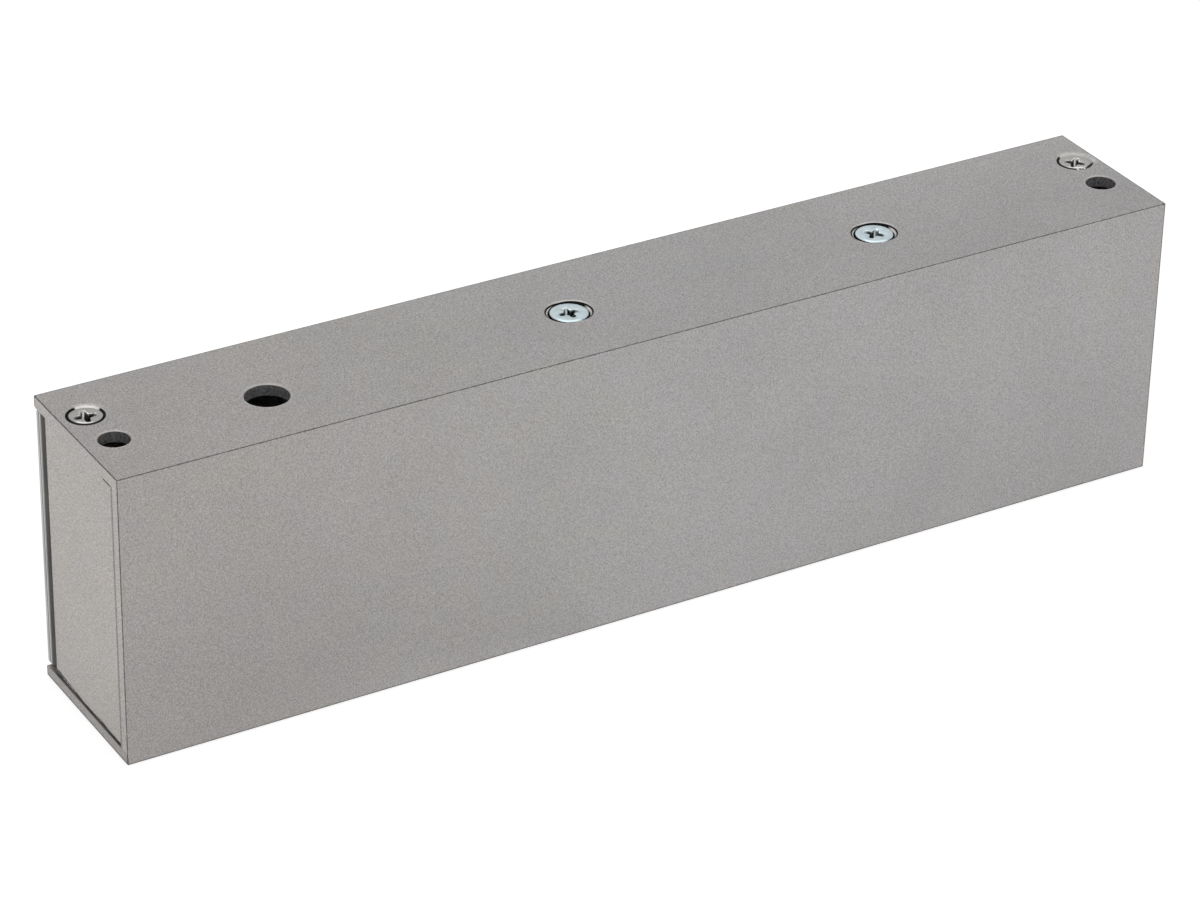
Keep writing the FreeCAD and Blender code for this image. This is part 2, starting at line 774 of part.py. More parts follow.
def open_ring(body, outward, corner=None):
    """Takes the middle out of a racetrack."""
    inside = new_sketch(body, "inside_outline", "XZ_Plane")
    half_along = f"({CLAMPED_HALF} + {outward})"
    half_up = f"(centre_leg / 2 + {outward})"
    if corner is None:
        rectangle(inside, f"-{half_along}", half_along, f"-{half_up}", half_up)
    else:
        rounded(inside, half_along, half_up, corner)
    pocket(body, "inside", inside)


def coil_body(label):
    body = new_body(label)
    place(body, CORE_CENTRE, "front_wall", CORE_MIDDLE)
    return body


def make_former():
    """A moulded bobbin: a square tube on the middle pole between two racetrack flanges."""
    body = coil_body("coil_former")
    rear = f"{WINDING_START} + {WINDING_DEPTH}"
    coil_ring(body, "tube", "back_iron", "former_wall", "former_corner", rear + " - back_iron")
    coil_ring(body, "front_flange", "back_iron", SLOT_WIDTH, WRAP_CORNER, "former_flange")
    coil_ring(body, "rear_flange", rear, SLOT_WIDTH, WRAP_CORNER, "former_flange")
    open_ring(body, "0")
    return body


def make_winding():
    body = coil_body("coil_winding")
    outward = f"(former_wall + {COIL_BUILD})"
    coil_ring(body, "turns", WINDING_START, outward, WINDING_CORNER, WINDING_DEPTH)
    open_ring(body, "former_wall", "former_corner")
    return body


def make_wrap():
    """Insulating tape round the outside of the turns."""
    body = coil_body("coil_wrap")
    coil_ring(body, "tape", WINDING_START, SLOT_WIDTH, WRAP_CORNER, WINDING_DEPTH)
    open_ring(body, f"(former_wall + {COIL_BUILD})", WINDING_CORNER)
    return body


def make_lead(label, side):
    """An insulated lead: straight out of the coil's left end, then forward to the board."""
    body = new_body(label)
    coil_end = f"({CAST_LEFT} + coil_end_gap)"
    place(body, coil_end, "lead_from_front", f"{CORE_MIDDLE} {side} lead_pitch / 2")
    run = f"({coil_end} - {BAY_RIGHT} + lead_drop_from_wall)"
    drop = f"(lead_from_front - {BOARD_FACE})"
    route = new_sketch(body, "route", "XY_Plane")
    bend = value("lead_bend")
    corner = Vector(-value(run), 0, 0)
    turn_start = corner + Vector(bend, 0, 0)
    turn_end = corner - Vector(0, bend, 0)
    centre = Vector(turn_start.x, turn_end.y, 0)
    foot = corner - Vector(0, value(drop), 0)
    route.addGeometry(Part.LineSegment(Vector(), turn_start), False)
    ring = Part.Circle(centre, Vector(0, 0, 1), bend)
    route.addGeometry(Part.ArcOfCircle(ring, QUARTER, 2 * QUARTER), False)
    route.addGeometry(Part.LineSegment(turn_end, foot), False)
    route.addConstraint(Sketcher.Constraint("Coincident", 0, 1, -1, 1))
    route.addConstraint(Sketcher.Constraint("Horizontal", 0))
    route.addConstraint(Sketcher.Constraint("Vertical", 2))
    route.addConstraint(Sketcher.Constraint("Tangent", 0, 2, 1, 1))
    route.addConstraint(Sketcher.Constraint("Tangent", 1, 2, 2, 1))
    tie(route, "Radius", "lead_bend", 1)
    tie_point(route, 2, 2, f"-{run}", f"-{drop}")
    section = new_sketch(body, "section", "YZ_Plane")
    circle(section, "0", "0", "lead_diameter")
    lead = body.newObject("PartDesign::AdditivePipe", "lead")
    lead.Profile = (section, [""])
    lead.Spine = (route, [])
    doc.recompute()
    return body


def make_resin(inside):
    """The cast resin: the space round the coil and core, up to the channel's back edges."""
    block = doc.addObject("Part::Box", "cast_space")
    bind(block, "Length", CAST_LENGTH)
    bind(block, "Width", "housing_depth - resin_below_edge - front_wall")
    bind(block, "Height", INNER_HEIGHT)
    place(block, CAST_LEFT, "front_wall", "flange_wall")
    contents = group("cast_in", inside)
    resin = doc.addObject("Part::Cut", "potting_resin")
    resin.Label = "potting_resin"
    resin.Base = block
    resin.Tool = contents
    return resin


def make_board():
    """The circuit board, upright behind the front wall, parts facing the terminal cover."""
    body = new_body("circuit_board")
    place(
        body,
        "board_from_left + board_width / 2",
        "front_wall + standoff_height",
        "board_from_base + board_height / 2",
    )
    outline = new_sketch(body, "outline", "XZ_Plane")
    rounded(outline, "board_width / 2", "board_height / 2", "board_corner")
    pad(body, "board", outline, "board_thickness", reverse=True)
    holes = new_sketch(body, "screw_holes", "XZ_Plane")
    across = "(board_width / 2 - board_screw_inset)"
    up = "(board_height / 2 - board_screw_inset)"
    for side, rise in (("-", ""), ("", "-")):
        circle(holes, f"{side}{across}", f"{rise}{up}", "board_screw_thread + 2 * shank_gap")
    pocket(body, "holes", holes)
    return body


def board_screw_places(back):
    """The two opposite corners of the board that are screwed down."""
    left = "board_from_left + board_screw_inset"
    right = "board_from_left + board_width - board_screw_inset"
    low = "board_from_base + board_screw_inset"
    high = "board_from_base + board_height - board_screw_inset"
    return [(left, back, high, BACKWARD), (right, back, low, BACKWARD)]


def make_standoffs():
    """Tapped pillars bonded to the front wall."""
    master = new_body("standoff_pattern")
    half = new_sketch(master, "half_profile", "XZ_Plane")
    bore = "(board_screw_thread / 2 + thread_gap)"
    rectangle(half, bore, "standoff_diameter / 2", "0", "standoff_height")
    revolve(master, "pillar", half)
    return copies(master, "board_standoffs", board_screw_places("front_wall"))


def make_board_screws():
    """Round-headed screws with a cross recess, their axis along Z, seated at zero."""
    master = new_body("board_screw_pattern")
    half = new_sketch(master, "half_profile", "XZ_Plane")
    polygon(half, [
        ("0", "board_screw_head_height"),
        ("board_screw_head / 2 - board_screw_head_height / 2", "board_screw_head_height"),
        ("board_screw_head / 2", "board_screw_head_height / 2"),
        ("board_screw_head / 2", "0"),
        ("board_screw_thread / 2", "0"),
        ("board_screw_thread / 2", "-board_screw_length"),
        ("0", "-board_screw_length"),
    ])
    revolve(master, "turned", half)
    slot = new_sketch(master, "slot_outline", "XY_Plane", "board_screw_head_height")
    rectangle(slot, "-board_screw_head", "board_screw_head", "-cross_arm / 2", "cross_arm / 2")
    pocket(master, "slot", slot, "board_screw_head_height / 2")
    return copies(master, "board_screws", board_screw_places(BOARD_FACE))


def pole_columns():
    """Middles of the terminal's two ways, counted from the middle of the block."""
    return ["-pole_pitch / 2", "pole_pitch / 2"]


def make_terminal_block():
    """The terminal's moulding: a clamp chamber for each way, open at the top for the wire."""
    body = new_body("terminal_block")
    place(body, "block_from_left", BOARD_FACE, BLOCK_TOP)
    side = new_sketch(body, "side_outline", "YZ_Plane")
    polygon(side, [
        ("0", "-block_height"),
        ("block_depth - block_shoulder", "-block_height"),
        ("block_depth", "block_shoulder - block_height"),
        ("block_depth", "0"),
        ("0", "0"),
    ])
    pad(body, "moulding", side, "2 * pole_pitch + pole_wall", middle=True)
    chambers = new_sketch(body, "chamber_outlines", "XY_Plane")
    half = "(clamp_size / 2 + clamp_gap)"
    for column in pole_columns():
        rectangle(
            chambers,
            f"{column} - {half}",
            f"{column} + {half}",
            "pole_wall",
            "pole_wall + clamp_depth + 2 * clamp_gap",
        )
    pocket(body, "chambers", chambers, "pole_wall + clamp_height + clamp_gap")
    wells = new_sketch(body, "screw_well_axes", "XZ_Plane", "-block_depth")
    for column in pole_columns():
        circle(wells, column, "-pole_wall - clamp_height / 2", "clamp_screw_head + 2 * clamp_gap")
    pocket(body, "screw_wells", wells, "block_depth - pole_wall - clamp_depth", reverse=True)
    return body


def make_terminal_clamps():
    """Rising cage clamps, open along Z for the wire and tapped at the back for the screw."""
    master = new_body("clamp_pattern")
    outline = new_sketch(master, "cage_outline", "XY_Plane")
    half = "clamp_size / 2"
    rectangle(outline, f"-{half}", half, "0", "clamp_depth")
    rectangle(
        outline,
        f"clamp_wall - {half}",
        f"{half} - clamp_wall",
        "clamp_wall",
        "clamp_depth - 2 * clamp_wall",
    )
    pad(master, "cage", outline, "clamp_height", middle=True)
    thread = new_sketch(master, "screw_axis", "XZ_Plane", "-clamp_depth")
    circle(thread, "0", "0", "clamp_screw + 2 * thread_gap")
    pocket(master, "screw_thread", thread, "2 * clamp_wall", reverse=True)
    return copies(master, "terminal_clamps", [
        (f"block_from_left + {column}", f"{BOARD_FACE} + pole_wall + clamp_gap", CLAMP_MIDDLE, DOWN)
        for column in pole_columns()
    ])


def make_terminal_screws():
    """Slotted clamp screws, their axis along Z, the underside of the head at zero."""
    master = new_body("terminal_screw_pattern")
    head_height = "(block_depth - pole_wall - clamp_depth - clamp_gap) / 2"
    half = new_sketch(master, "half_profile", "XZ_Plane")
    polygon(half, [
        ("0", head_height),
        ("clamp_screw_head / 2", head_height),
        ("clamp_screw_head / 2", "0"),
        ("clamp_screw / 2", "0"),
        ("clamp_screw / 2", "-clamp_screw_length"),
        ("0", "-clamp_screw_length"),
    ])
    revolve(master, "turned", half)
    slot = new_sketch(master, "slot_outline", "XY_Plane", head_height)
    width = "clamp_screw_slot / 2"
    rectangle(slot, "-clamp_screw_head", "clamp_screw_head", f"-{width}", width)
    pocket(master, "slot", slot, f"{head_height} / 2")
    back = f"{BOARD_FACE} + pole_wall + clamp_depth + 2 * clamp_gap"
    return copies(master, "terminal_screws", [
        (f"block_from_left + {column}", back, CLAMP_MIDDLE, BACKWARD) for column in pole_columns()
    ])


def make_varistor():
    """A disc suppressor that stands off the board on two legs."""
    body = new_body("varistor")
    place(body, "varistor_from_left", BOARD_FACE, "varistor_from_base", BACKWARD)
    centre = "varistor_rise + varistor_diameter / 2"
    disc = new_sketch(body, "disc_outline", "XZ_Plane")
    circle(disc, "0", centre, "varistor_diameter")
    pad(body, "disc", disc, "varistor_thickness", middle=True)
    legs = new_sketch(body, "leg_outlines", "XY_Plane")
    for side in ("-", ""):
        circle(legs, f"{side}varistor_leg_pitch / 2", "0", "part_leg")
    pad(body, "legs", legs, centre)
    return body


def make_diode():
    """An axial diode that lies above the board on its two bent legs."""
    body = new_body("suppression_diode")
    place(body, "diode_from_left", BOARD_FACE, "diode_from_base", BACKWARD)
    height = "(diode_rise + diode_diameter / 2)"
    section = new_sketch(body, "section", "YZ_Plane")
    circle(section, "0", height, "diode_diameter")
    pad(body, "case", section, "diode_length", middle=True)
    wire = new_sketch(body, "wire_section", "YZ_Plane")
    circle(wire, "0", height, "part_leg")
    pad(body, "wire", wire, "diode_leg_pitch", middle=True)
    legs = new_sketch(body, "leg_outlines", "XY_Plane")
    for side in ("-", ""):
        circle(legs, f"{side}(diode_leg_pitch - part_leg) / 2", "0", "part_leg")
    pad(body, "legs", legs, height)
    return body


stack = make_core_stack()
clamps = make_clamp_plates()
cast_in = [
    make_rivets(),
    make_former(),
    make_winding(),
    make_wrap(),
    make_lead("coil_lead_upper", "+"),
    make_lead("coil_lead_lower", "-"),
]
NODES = [
    make_housing(),
    make_end_plate("end_plate_left", False),
    make_end_plate("end_plate_right", True),
    make_end_screws(),
    make_core_screws(),
    make_rear_plate(
        "terminal_cover",
        "end_recess",
        f"{CAST_LEFT} - cover_seam",
        ["cover_screw_from_end", BAY_WALL_MIDDLE],
    ),
    make_rear_plate(
        "rear_blank",
        f"{CAST_RIGHT} + cover_seam",
        "housing_length - end_recess",
        ["housing_length - cover_screw_from_end"],
    ),
    make_cover_screws(),
    make_bay_wall(),
    make_partition("end_dam", CAST_RIGHT, "end_dam_thickness"),
    stack,
    clamps,
    *cast_in,
    make_resin([make_core_space(), *cast_in]),
    make_board(),
    make_standoffs(),
    make_board_screws(),
    make_terminal_block(),
    make_terminal_clamps(),
    make_terminal_screws(),
    make_varistor(),
    make_diode(),
]
doc.recompute()

failed = [item.Name for item in doc.Objects if {"Invalid", "Error"} & set(item.State)]
if failed:
    raise RuntimeError(f"these did not compute: {failed}")
for node in NODES:
    if node.Shape.isNull() or not node.Shape.isValid():
        raise RuntimeError(f"{node.Label} has no sound shape")

os.makedirs("parts", exist_ok=True)
for node in NODES:
    node.Shape.exportStep(f"parts/{node.Label}.step")
    print(node.Label, len(node.Shape.Solids), "solids", round(node.Shape.Volume), "cubic mm")
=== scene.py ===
import json
import math
import bpy
from mathutils import Matrix, Vector


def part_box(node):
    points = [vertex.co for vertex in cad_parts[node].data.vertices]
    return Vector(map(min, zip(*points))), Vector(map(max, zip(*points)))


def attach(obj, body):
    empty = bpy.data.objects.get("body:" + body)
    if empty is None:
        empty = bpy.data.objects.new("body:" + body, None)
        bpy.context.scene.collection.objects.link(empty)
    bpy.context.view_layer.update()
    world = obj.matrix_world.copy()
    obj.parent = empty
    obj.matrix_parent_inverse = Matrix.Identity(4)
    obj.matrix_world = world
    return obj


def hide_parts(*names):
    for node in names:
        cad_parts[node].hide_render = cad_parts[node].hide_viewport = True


# The looks of a surface-mounted electromagnetic door lock. Places in the scene are metres,
# and the finishes and screws count in millimetres.

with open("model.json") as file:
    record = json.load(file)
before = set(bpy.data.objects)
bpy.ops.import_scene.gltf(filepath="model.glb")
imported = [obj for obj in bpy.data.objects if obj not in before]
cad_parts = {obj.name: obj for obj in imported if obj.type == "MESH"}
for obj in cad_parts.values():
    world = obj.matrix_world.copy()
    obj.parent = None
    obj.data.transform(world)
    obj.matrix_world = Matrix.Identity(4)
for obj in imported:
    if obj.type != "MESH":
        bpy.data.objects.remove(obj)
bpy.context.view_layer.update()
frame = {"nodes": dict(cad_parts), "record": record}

MM = 0.001
AXES = range(3)
X, Y, Z = AXES
SPOT_DIGITS = 3
CREVICE_SAMPLES = 8
NEVER_ZERO = 0.01
# Sockets of a node that mixes: its two numbers or colors, and the number or color it gives
MIX_NUMBERS = (2, 3)
MIX_COLORS = (6, 7)
MIXED_NUMBER = 0
MIXED_COLOR = 2

# Camera, as fitted to the corners of the lock
CAMERA_AZIMUTH = math.radians(-30.905)
CAMERA_ELEVATION = math.radians(29.698)
CAMERA_ROLL = math.radians(1.1346)
CAMERA_DISTANCE = 0.9
CAMERA_AIM = Vector((0.00054, 0.00857, 0.02171))
CAMERA_LENS = 138.505
SENSOR_WIDTH = 36.0

# Studio
FLOOR_HALF = 6.0
FLOOR_GAP = 0.0001
GLASS_REACH = 0.0005
FLOOR_TONE = 0.5
FLOOR_GLOW = 0.72
SKY_SEEN = 1.0
SKY_MIRRORED = 0.78
SKY_LIGHT = 0.55
# Name, place, side and power of each lamp
LAMPS = [
    ("key_lamp", (-1.3, -1.0, 1.5), 1.4, 9.0),
    ("fill_lamp", (1.2, -1.5, 1.1), 1.6, 7.0),
    ("back_lamp", (0.4, 1.5, 1.6), 1.6, 2.5),
]
LAMP_AIM = Vector((0.0, 0.0, 0.03))

# Screws: slot, axes, thread and length of the cross in millimetres, and the turn of each one's cross
TOP_AXES = (Vector((1, 0, 0)), Vector((0, 1, 0)), Vector((0, 0, 1)))
REAR_AXES = (Vector((1, 0, 0)), Vector((0, 0, -1)), Vector((0, 1, 0)))
SCREWS = {
    "end_screws": ("nickel_screw", TOP_AXES, 3.5, 4.2, (-6, 44)),
    "core_screws": ("zinc_screw", TOP_AXES, 4.0, 4.1, (2, -52)),
    "cover_screws": ("nickel_screw", REAR_AXES, 3.0, 3.1, (20, 65, 41, 8, 77, 52)),
}
HEAD_RIM = 0.2
HEAD_EDGE = 0.2
THREAD_TIP = 0.5
CROSS_ARM = 1.1
CROSS_MIDDLE = 0.9
CROSS_DEPTH = 1.45
CROSS_ROUNDNESS = 5
CROSS_BEVEL = 0.16
# How deep each level of the cross lies, as a share of its depth, and how wide it still is
CROSS_LEVELS = ((0.04, 1.0), (0.3, 0.88), (0.65, 0.68), (1.0, 0.4))
ARM_LEAST = 0.35
SCREW_ANGLES = 96
EDGE_STEPS = 4
SHARP_ANGLE = math.radians(32)

# Seats and marks on the channel and its end plates, in millimetres
CORE_SLOT_TRAVEL = 1.1
FLANGE_WALL = 2.4
FRONT_WALL = 2.7
HOLE_RIM = 0.2
SKIN = 0.03
BLUR = 0.1
SOFT_SEAM = 0.5
TOP_SEAM_HEIGHT = 0.6
TOP_SEAM_LENGTH = 3.6
PLATE_STEP = 2.1
GAP_HEIGHT = 0.9
NICK_HEIGHT = 0.35
GAP_SHADOW_LINE = 0.12
COVER_SKIN = 0.05
COVER_FOLD = 0.55
COVER_CORNER = (0.1, 0.3)
EDGE_LINE = (0.11, 0.17)
OUTER_EDGE = 0.5
# The dark lines of painted shade on the edges are this many times wider on the outer edges, and again low on
# the ends
OUTER_WIDER = 2.3
LOW_STRIP_WIDER = 1.8
# Where the gap painted under the end plate opens and is nicked, as shares of the way to the plate's step
GAP_OPENS = (0.55, 0.97)
NICK = (0.3, 0.34)
# How far a face is turned upward on a wall, on the slope of a screw's seat and on the flange
WALL_TURN = 0.3
SLOPE_TURNS = (0.6, 0.8)
FLAT_TURN = 0.95

# Round the screws, in millimetres out from their heads or down from their tops
HEAD_REACH = 2.5
HEAD_ZONE = 1.6
REAR_HEAD_ZONE = 1.5
END_HIGHLIGHT_FADE = (0.4, 1.6)
CORE_HIGHLIGHT_FADE = (0.5, 1.2)
CORE_SHADOW_RING = 0.42
SEAT_REACH = 1.0
SLOT_SHADOW = 0.17
HEAD_SHADOW = 0.28
CROSS_START = -1.0
CROSS_SHADOW = (0.1, 0.5)
LIP = -0.45
GLINT_WIDTH = 0.12
# How far the line of painted shadow round a head reaches in over it on its two sides, as multiples of its
# width
LINE_REACH = (-3.2, -0.6)

# Tones, as factors on a finish's own color. The end, seam, rim, edge and crevice ones paint light or shade
END_PAINTED_LIGHT = 1.15
TOP_SEAM_HIGHLIGHT = 1.15
LOW_STRIP_DARKER = 0.82
SEAM_SHADE = 0.1
RIM_HIGHLIGHT = 1.16
EDGE_SHADE = 0.33
OUTER_EDGE_SHADE = 0.42
# Painted shade in crevices
CREVICE_SHADE = 0.1
WARM_PATCH = (1.005, 1.003, 0.985)
COOL_PATCH = (0.995, 0.997, 1.01)
LEFT_TINT = (1.0, 0.995, 1.01)
RIGHT_TINT = (1.02, 1.035, 1.07)
END_PLATE_TINT = (1.0, 0.98, 1.0)
NICKEL_TINT = (0.65, 0.66, 0.68)
ZINC_TINT = (0.83, 0.9, 0.92)

# Colors that are no slot's own
# Bare metal, also the color of the painted highlights round the screws
BARE_METAL_AND_HIGHLIGHT = (0.74, 0.73, 0.71)
TINNED = (0.62, 0.6, 0.56)
HOLE_WALL_SHADE = (0.11, 0.108, 0.11)
NEAR_BLACK = (0.006, 0.006, 0.006)
GLINT = (0.97, 0.98, 0.98)

# The side of each screw that gets painted highlights on the channel and on the heads, and how much more
# of it, and how far round, at the right end
HIGHLIGHT_SIDE = Vector((0.51, 0.86))
RIGHT_HIGHLIGHT = 0.45
RIGHT_LEAN = 0.09
# Where in its cross a screw glints, at the left and at the right of the lock, in millimetres
GLINT_OFFSETS = (-0.6, 0.15)

# Repeats inside the lock, in millimetres
SHEET_PITCH = 0.5
TURN_PITCH = 0.5
TAPE_PITCH = 8.0
WEAVE_PITCH = 0.45
TRACK_PITCHES = (5.08, 7.62)
CUT_PITCH = 0.2
VARISTOR_LEGS = 1.1
DIODE_LENGTH = 5.2
DIODE_BAND_WIDTH = 0.9
# Where the diode's band lies, as a share of the way to its end
DIODE_BAND = 0.62

# The part of a noise's range that it mostly fills, and a narrower one
USUAL = (0.3, 0.7)
NARROW = (0.35, 0.65)
# A turn that keeps the cells of a noise texture from lining up with flat faces, in radians
NOISE_TURN = (0.6, 0.4, 0.9)


def tone(color, factor=1.0):
    return (*(channel * factor for channel in color[:3]), 1.0)


def tinted(color, tint):
    return tuple(channel * factor for channel, factor in zip(color, tint))


def box_mm(node):
    low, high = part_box(node)
    return low / MM, high / MM


def solids_of(node):
    """Boxes of the separate solids in a CAD node, in millimetres, in order of their places."""
    mesh = frame["nodes"][node].data
    spots = [tuple(round(length / MM, SPOT_DIGITS) for length in vertex.co) for vertex in mesh.vertices]
    leader = {spot: spot for spot in spots}

    def leader_of(spot):
        while leader[spot] != spot:
            leader[spot] = leader[leader[spot]]
            spot = leader[spot]
        return spot

    for face in mesh.polygons:
        first, *others = (leader_of(spots[index]) for index in face.vertices)
        for other in others:
            leader[leader_of(other)] = leader_of(first)
    solids = {}
    for spot in leader:
        solids.setdefault(leader_of(spot), []).append(spot)
    boxes = [
        (Vector([min(spot[axis] for spot in solid) for axis in AXES]),
         Vector([max(spot[axis] for spot in solid) for axis in AXES]))
        for solid in solids.values()
    ]
    return sorted(boxes, key=lambda box: tuple(box[0]))


def feed(tree, socket, given):
    """Gives a node's socket a link from another socket, or a fixed value."""
    if isinstance(given, bpy.types.NodeSocket):
        tree.links.new(given, socket)
    else:
        socket.default_value = given


class Look:
    """One node material, built up from its Principled shader.

    Its places, limits, blurs and sizes are millimetres, and a mask is 1 where something shows.
    """

    def __init__(self, name):
        self.material = bpy.data.materials.new(name)
        self.material.use_nodes = True
        self.tree = self.material.node_tree
        self.shader = self.tree.nodes["Principled BSDF"]
        self.given = self.node("TexCoord")
        self.spot = self.scaled(self.given.outputs["Object"], 1 / MM)
        self.x, self.y, self.z = self.parted(self.spot)
        by_angles = {"rotation_type": "EULER_XYZ"}
        self.turned = self.node("VectorRotate", by_angles, Vector=self.spot, Rotation=NOISE_TURN).outputs[0]

    def feed(self, socket, given):
        feed(self.tree, socket, given)

    def node(self, kind, settings=None, **inputs):
        made = self.tree.nodes.new("ShaderNode" + kind)
        for name, choice in (settings or {}).items():
            setattr(made, name, choice)
        for name, given in inputs.items():
            self.feed(made.inputs[name], given)
        return made

    def parted(self, vector):
        return self.node("SeparateXYZ", Vector=vector).outputs

    def scaled(self, vector, factor):
        return self.node("VectorMath", {"operation": "SCALE"}, Vector=vector, Scale=factor).outputs[0]

    def stretched(self, factors):
        made = self.node("VectorMath", {"operation": "MULTIPLY"})
        self.feed(made.inputs[0], self.spot)
        self.feed(made.inputs[1], factors)
        return made.outputs[0]

    def calc(self, operation, one, other=0.0):
        made = self.node("Math", {"operation": operation})
        self.feed(made.inputs[0], one)
        self.feed(made.inputs[1], other)
        return made.outputs[0]

    def gathered(self, operation, sockets):
        result = sockets[0]
        for socket in sockets[1:]:
            result = self.calc(operation, result, socket)
        return result

    def product(self, *sockets):
        return self.gathered("MULTIPLY", sockets)

    def length_of(self, one, other):
        return self.calc("SQRT", self.calc("ADD", self.product(one, one), self.product(other, other)))

    def middle_of(self, one, two, three):
        low = self.calc("MINIMUM", one, two)
        high = self.calc("MAXIMUM", one, two)
        return self.calc("MAXIMUM", low, self.calc("MINIMUM", high, three))

    def away(self, coordinate, place):
        return self.calc("ABSOLUTE", self.calc("SUBTRACT", coordinate, place))

    def span(self, given, low, high, to_low=0.0, to_high=1.0):
        made = self.node("MapRange")
        for name, number in (
            ("Value", given), ("From Min", low), ("From Max", high), ("To Min", to_low), ("To Max", to_high)
        ):
            self.feed(made.inputs[name], number)
        return made.outputs[0]

    def below(self, given, limit, blur=BLUR):
        """1 up to a limit, 0 past its blur."""
        return self.span(given, limit, limit + blur, 1.0, 0.0)

    def above(self, given, limit, blur=BLUR):
        """1 from a limit, 0 before its blur."""
        return self.span(given, limit - blur, limit)

    def vary(self, noise, low, high, swing=USUAL):
        """A number that goes from low to high with a noise."""
        return self.span(noise, *swing, low, high)

    def mix(self, share, one, other, blend="MIX"):
        made = self.node("Mix", {"data_type": "RGBA", "blend_type": blend})
        self.feed(made.inputs[0], share)
        for place, color in zip(MIX_COLORS, (one, other)):
            self.feed(made.inputs[place], color)
        return made.outputs[MIXED_COLOR]

    def shade(self, color, factor):
        return self.mix(1.0, color, factor, "MULTIPLY")

    def mottle(self, color, noise, low, high, swing=USUAL):
        """A color times a number that goes from low to high with a noise."""
        return self.shade(color, self.vary(noise, low, high, swing))

    def dye(self, mask, color, factor):
        """A color times a factor, where a mask shows."""
        return self.shade(color, self.span(mask, 0.0, 1.0, 1.0, factor))

    def noise(self, size, detail=2.0, roughness=0.5, stretch=None):
        """Cloudy noise from 0 to 1 whose patches are about size millimetres across."""
        where = self.stretched(stretch) if stretch else self.turned
        made = self.node("TexNoise", Vector=where, Scale=1 / size, Detail=detail, Roughness=roughness)
        return made.outputs["Fac"]

    def pits(self, size, share):
        """1 in the middle of round pits about size millimetres apart, 0 between them."""
        cells = self.node("TexVoronoi", Vector=self.spot, Scale=1 / size)
        rare = self.above(self.parted(cells.outputs["Color"])[0], 1 - share, 0.01)
        return self.product(rare, self.span(cells.outputs["Distance"], 0.1, 0.25, 1.0, 0.0))

    def lines(self, coordinate, pitch, share):
        """1 on thin lines that cross a coordinate at an even pitch, 0 between them."""
        part = self.calc("FRACT", self.calc("DIVIDE", coordinate, pitch))
        return self.span(self.away(part, 0.5), 0.5 - share, 0.5)

    def per_strip(self, coordinate, pitch):
        """A random number from 0 to 1 for each strip of a coordinate."""
        strip = self.calc("FLOOR", self.calc("DIVIDE", coordinate, pitch))
        return self.node("TexWhiteNoise", {"noise_dimensions": "1D"}, W=strip).outputs["Value"]

    def turned_to(self, axis):
        """How far a face is turned to an axis, from 0 to 1."""
        return self.calc("ABSOLUTE", self.parted(self.given.outputs["Normal"])[axis])

    def crevice(self, reach):
        """1 in the open, 0 deep in a gap narrower than reach millimetres."""
        return self.node("AmbientOcclusion", {"samples": CREVICE_SAMPLES}, Distance=reach * MM).outputs["AO"]

    def crevice_shaded(self, base, color, reach, clean=0.75):
        """The base color with painted shade: darker in crevices, where shade falls."""
        return self.mix(self.span(self.crevice(reach), 0.15, clean), tone(color, CREVICE_SHADE), base)

    def bump(self, height, strength, depth):
        made = self.node("Bump", Strength=strength, Distance=depth * MM, Height=height)
        self.feed(self.shader.inputs["Normal"], made.outputs[0])

    def finish(self, color, metallic, roughness):
        self.feed(self.shader.inputs["Base Color"], color)
        self.feed(self.shader.inputs["Metallic"], metallic)
        self.feed(self.shader.inputs["Roughness"], roughness)
        return self.material


def blasted(look, color):
    """Bead-blasted, anodised aluminium: fine grain, faint clouds and faint warm patches."""
    clouds = look.noise(20.0, 3.0)
    patches = look.noise(6.0, 1.0)
    grain = look.noise(0.29, 2.0, 0.75)
    warm, cool = tone(tinted(color, WARM_PATCH)), tone(tinted(color, COOL_PATCH))
    base = look.mix(look.span(patches, *NARROW), warm, cool)
    base = look.mottle(base, clouds, 0.96, 1.04, NARROW)
    swing = look.span(look.turned_to(Y), 0.0, 1.0, 0.39, 0.3)
    speckle = look.product(look.vary(grain, -1.0, 1.0), swing)
    base = look.shade(base, look.calc("ADD", speckle, 1.0))
    look.bump(grain, 0.3, 0.02)
    return base, look.vary(clouds, 0.5, 0.57)


def round_heads(look, node, travel=0.0):
    """How far a spot lies outside the nearest screw head, on which side of it, and how far aside.

    The head may travel along the channel. The side is 1 on the side that gets painted highlights and -1
    opposite.
    """
    gaps, sides, offsets = [], [], []
    for low, high in solids_of(node):
        middle, radius = (low + high) / 2, (high.y - low.y) / 2
        across = look.calc("SUBTRACT", look.x, middle.x)
        up = look.calc("SUBTRACT", look.y, middle.y)
        beyond = look.calc("MAXIMUM", look.calc("SUBTRACT", look.calc("ABSOLUTE", across), travel / 2), 0.0)
        gap = look.calc("SUBTRACT", look.length_of(beyond, up), radius)
        toward_highlight = look.calc("ADD", look.product(across, HIGHLIGHT_SIDE.x), look.product(up, HIGHLIGHT_SIDE.y))
        side = look.calc("DIVIDE", toward_highlight, look.calc("ADD", look.length_of(across, up), NEVER_ZERO))
        aside = look.calc("SUBTRACT", look.product(across, HIGHLIGHT_SIDE.y), look.product(up, HIGHLIGHT_SIDE.x))
        near = look.below(gap, HEAD_REACH, 0.5)
        gaps.append(gap)
        sides.append(look.product(side, near))
        offsets.append(look.product(aside, near))
    return look.gathered("MINIMUM", gaps), look.gathered("ADD", sides), look.gathered("ADD", offsets)


def more_highlit(look, side, offset):
    """The side of a screw, shifted at the right end, where more of the seat gets painted highlight."""
    shift = look.calc("ADD", look.calc("MULTIPLY", offset, RIGHT_LEAN), RIGHT_HIGHLIGHT)
    return look.calc("ADD", side, look.product(shift, look.span(look.x, -1.0, 1.0)))


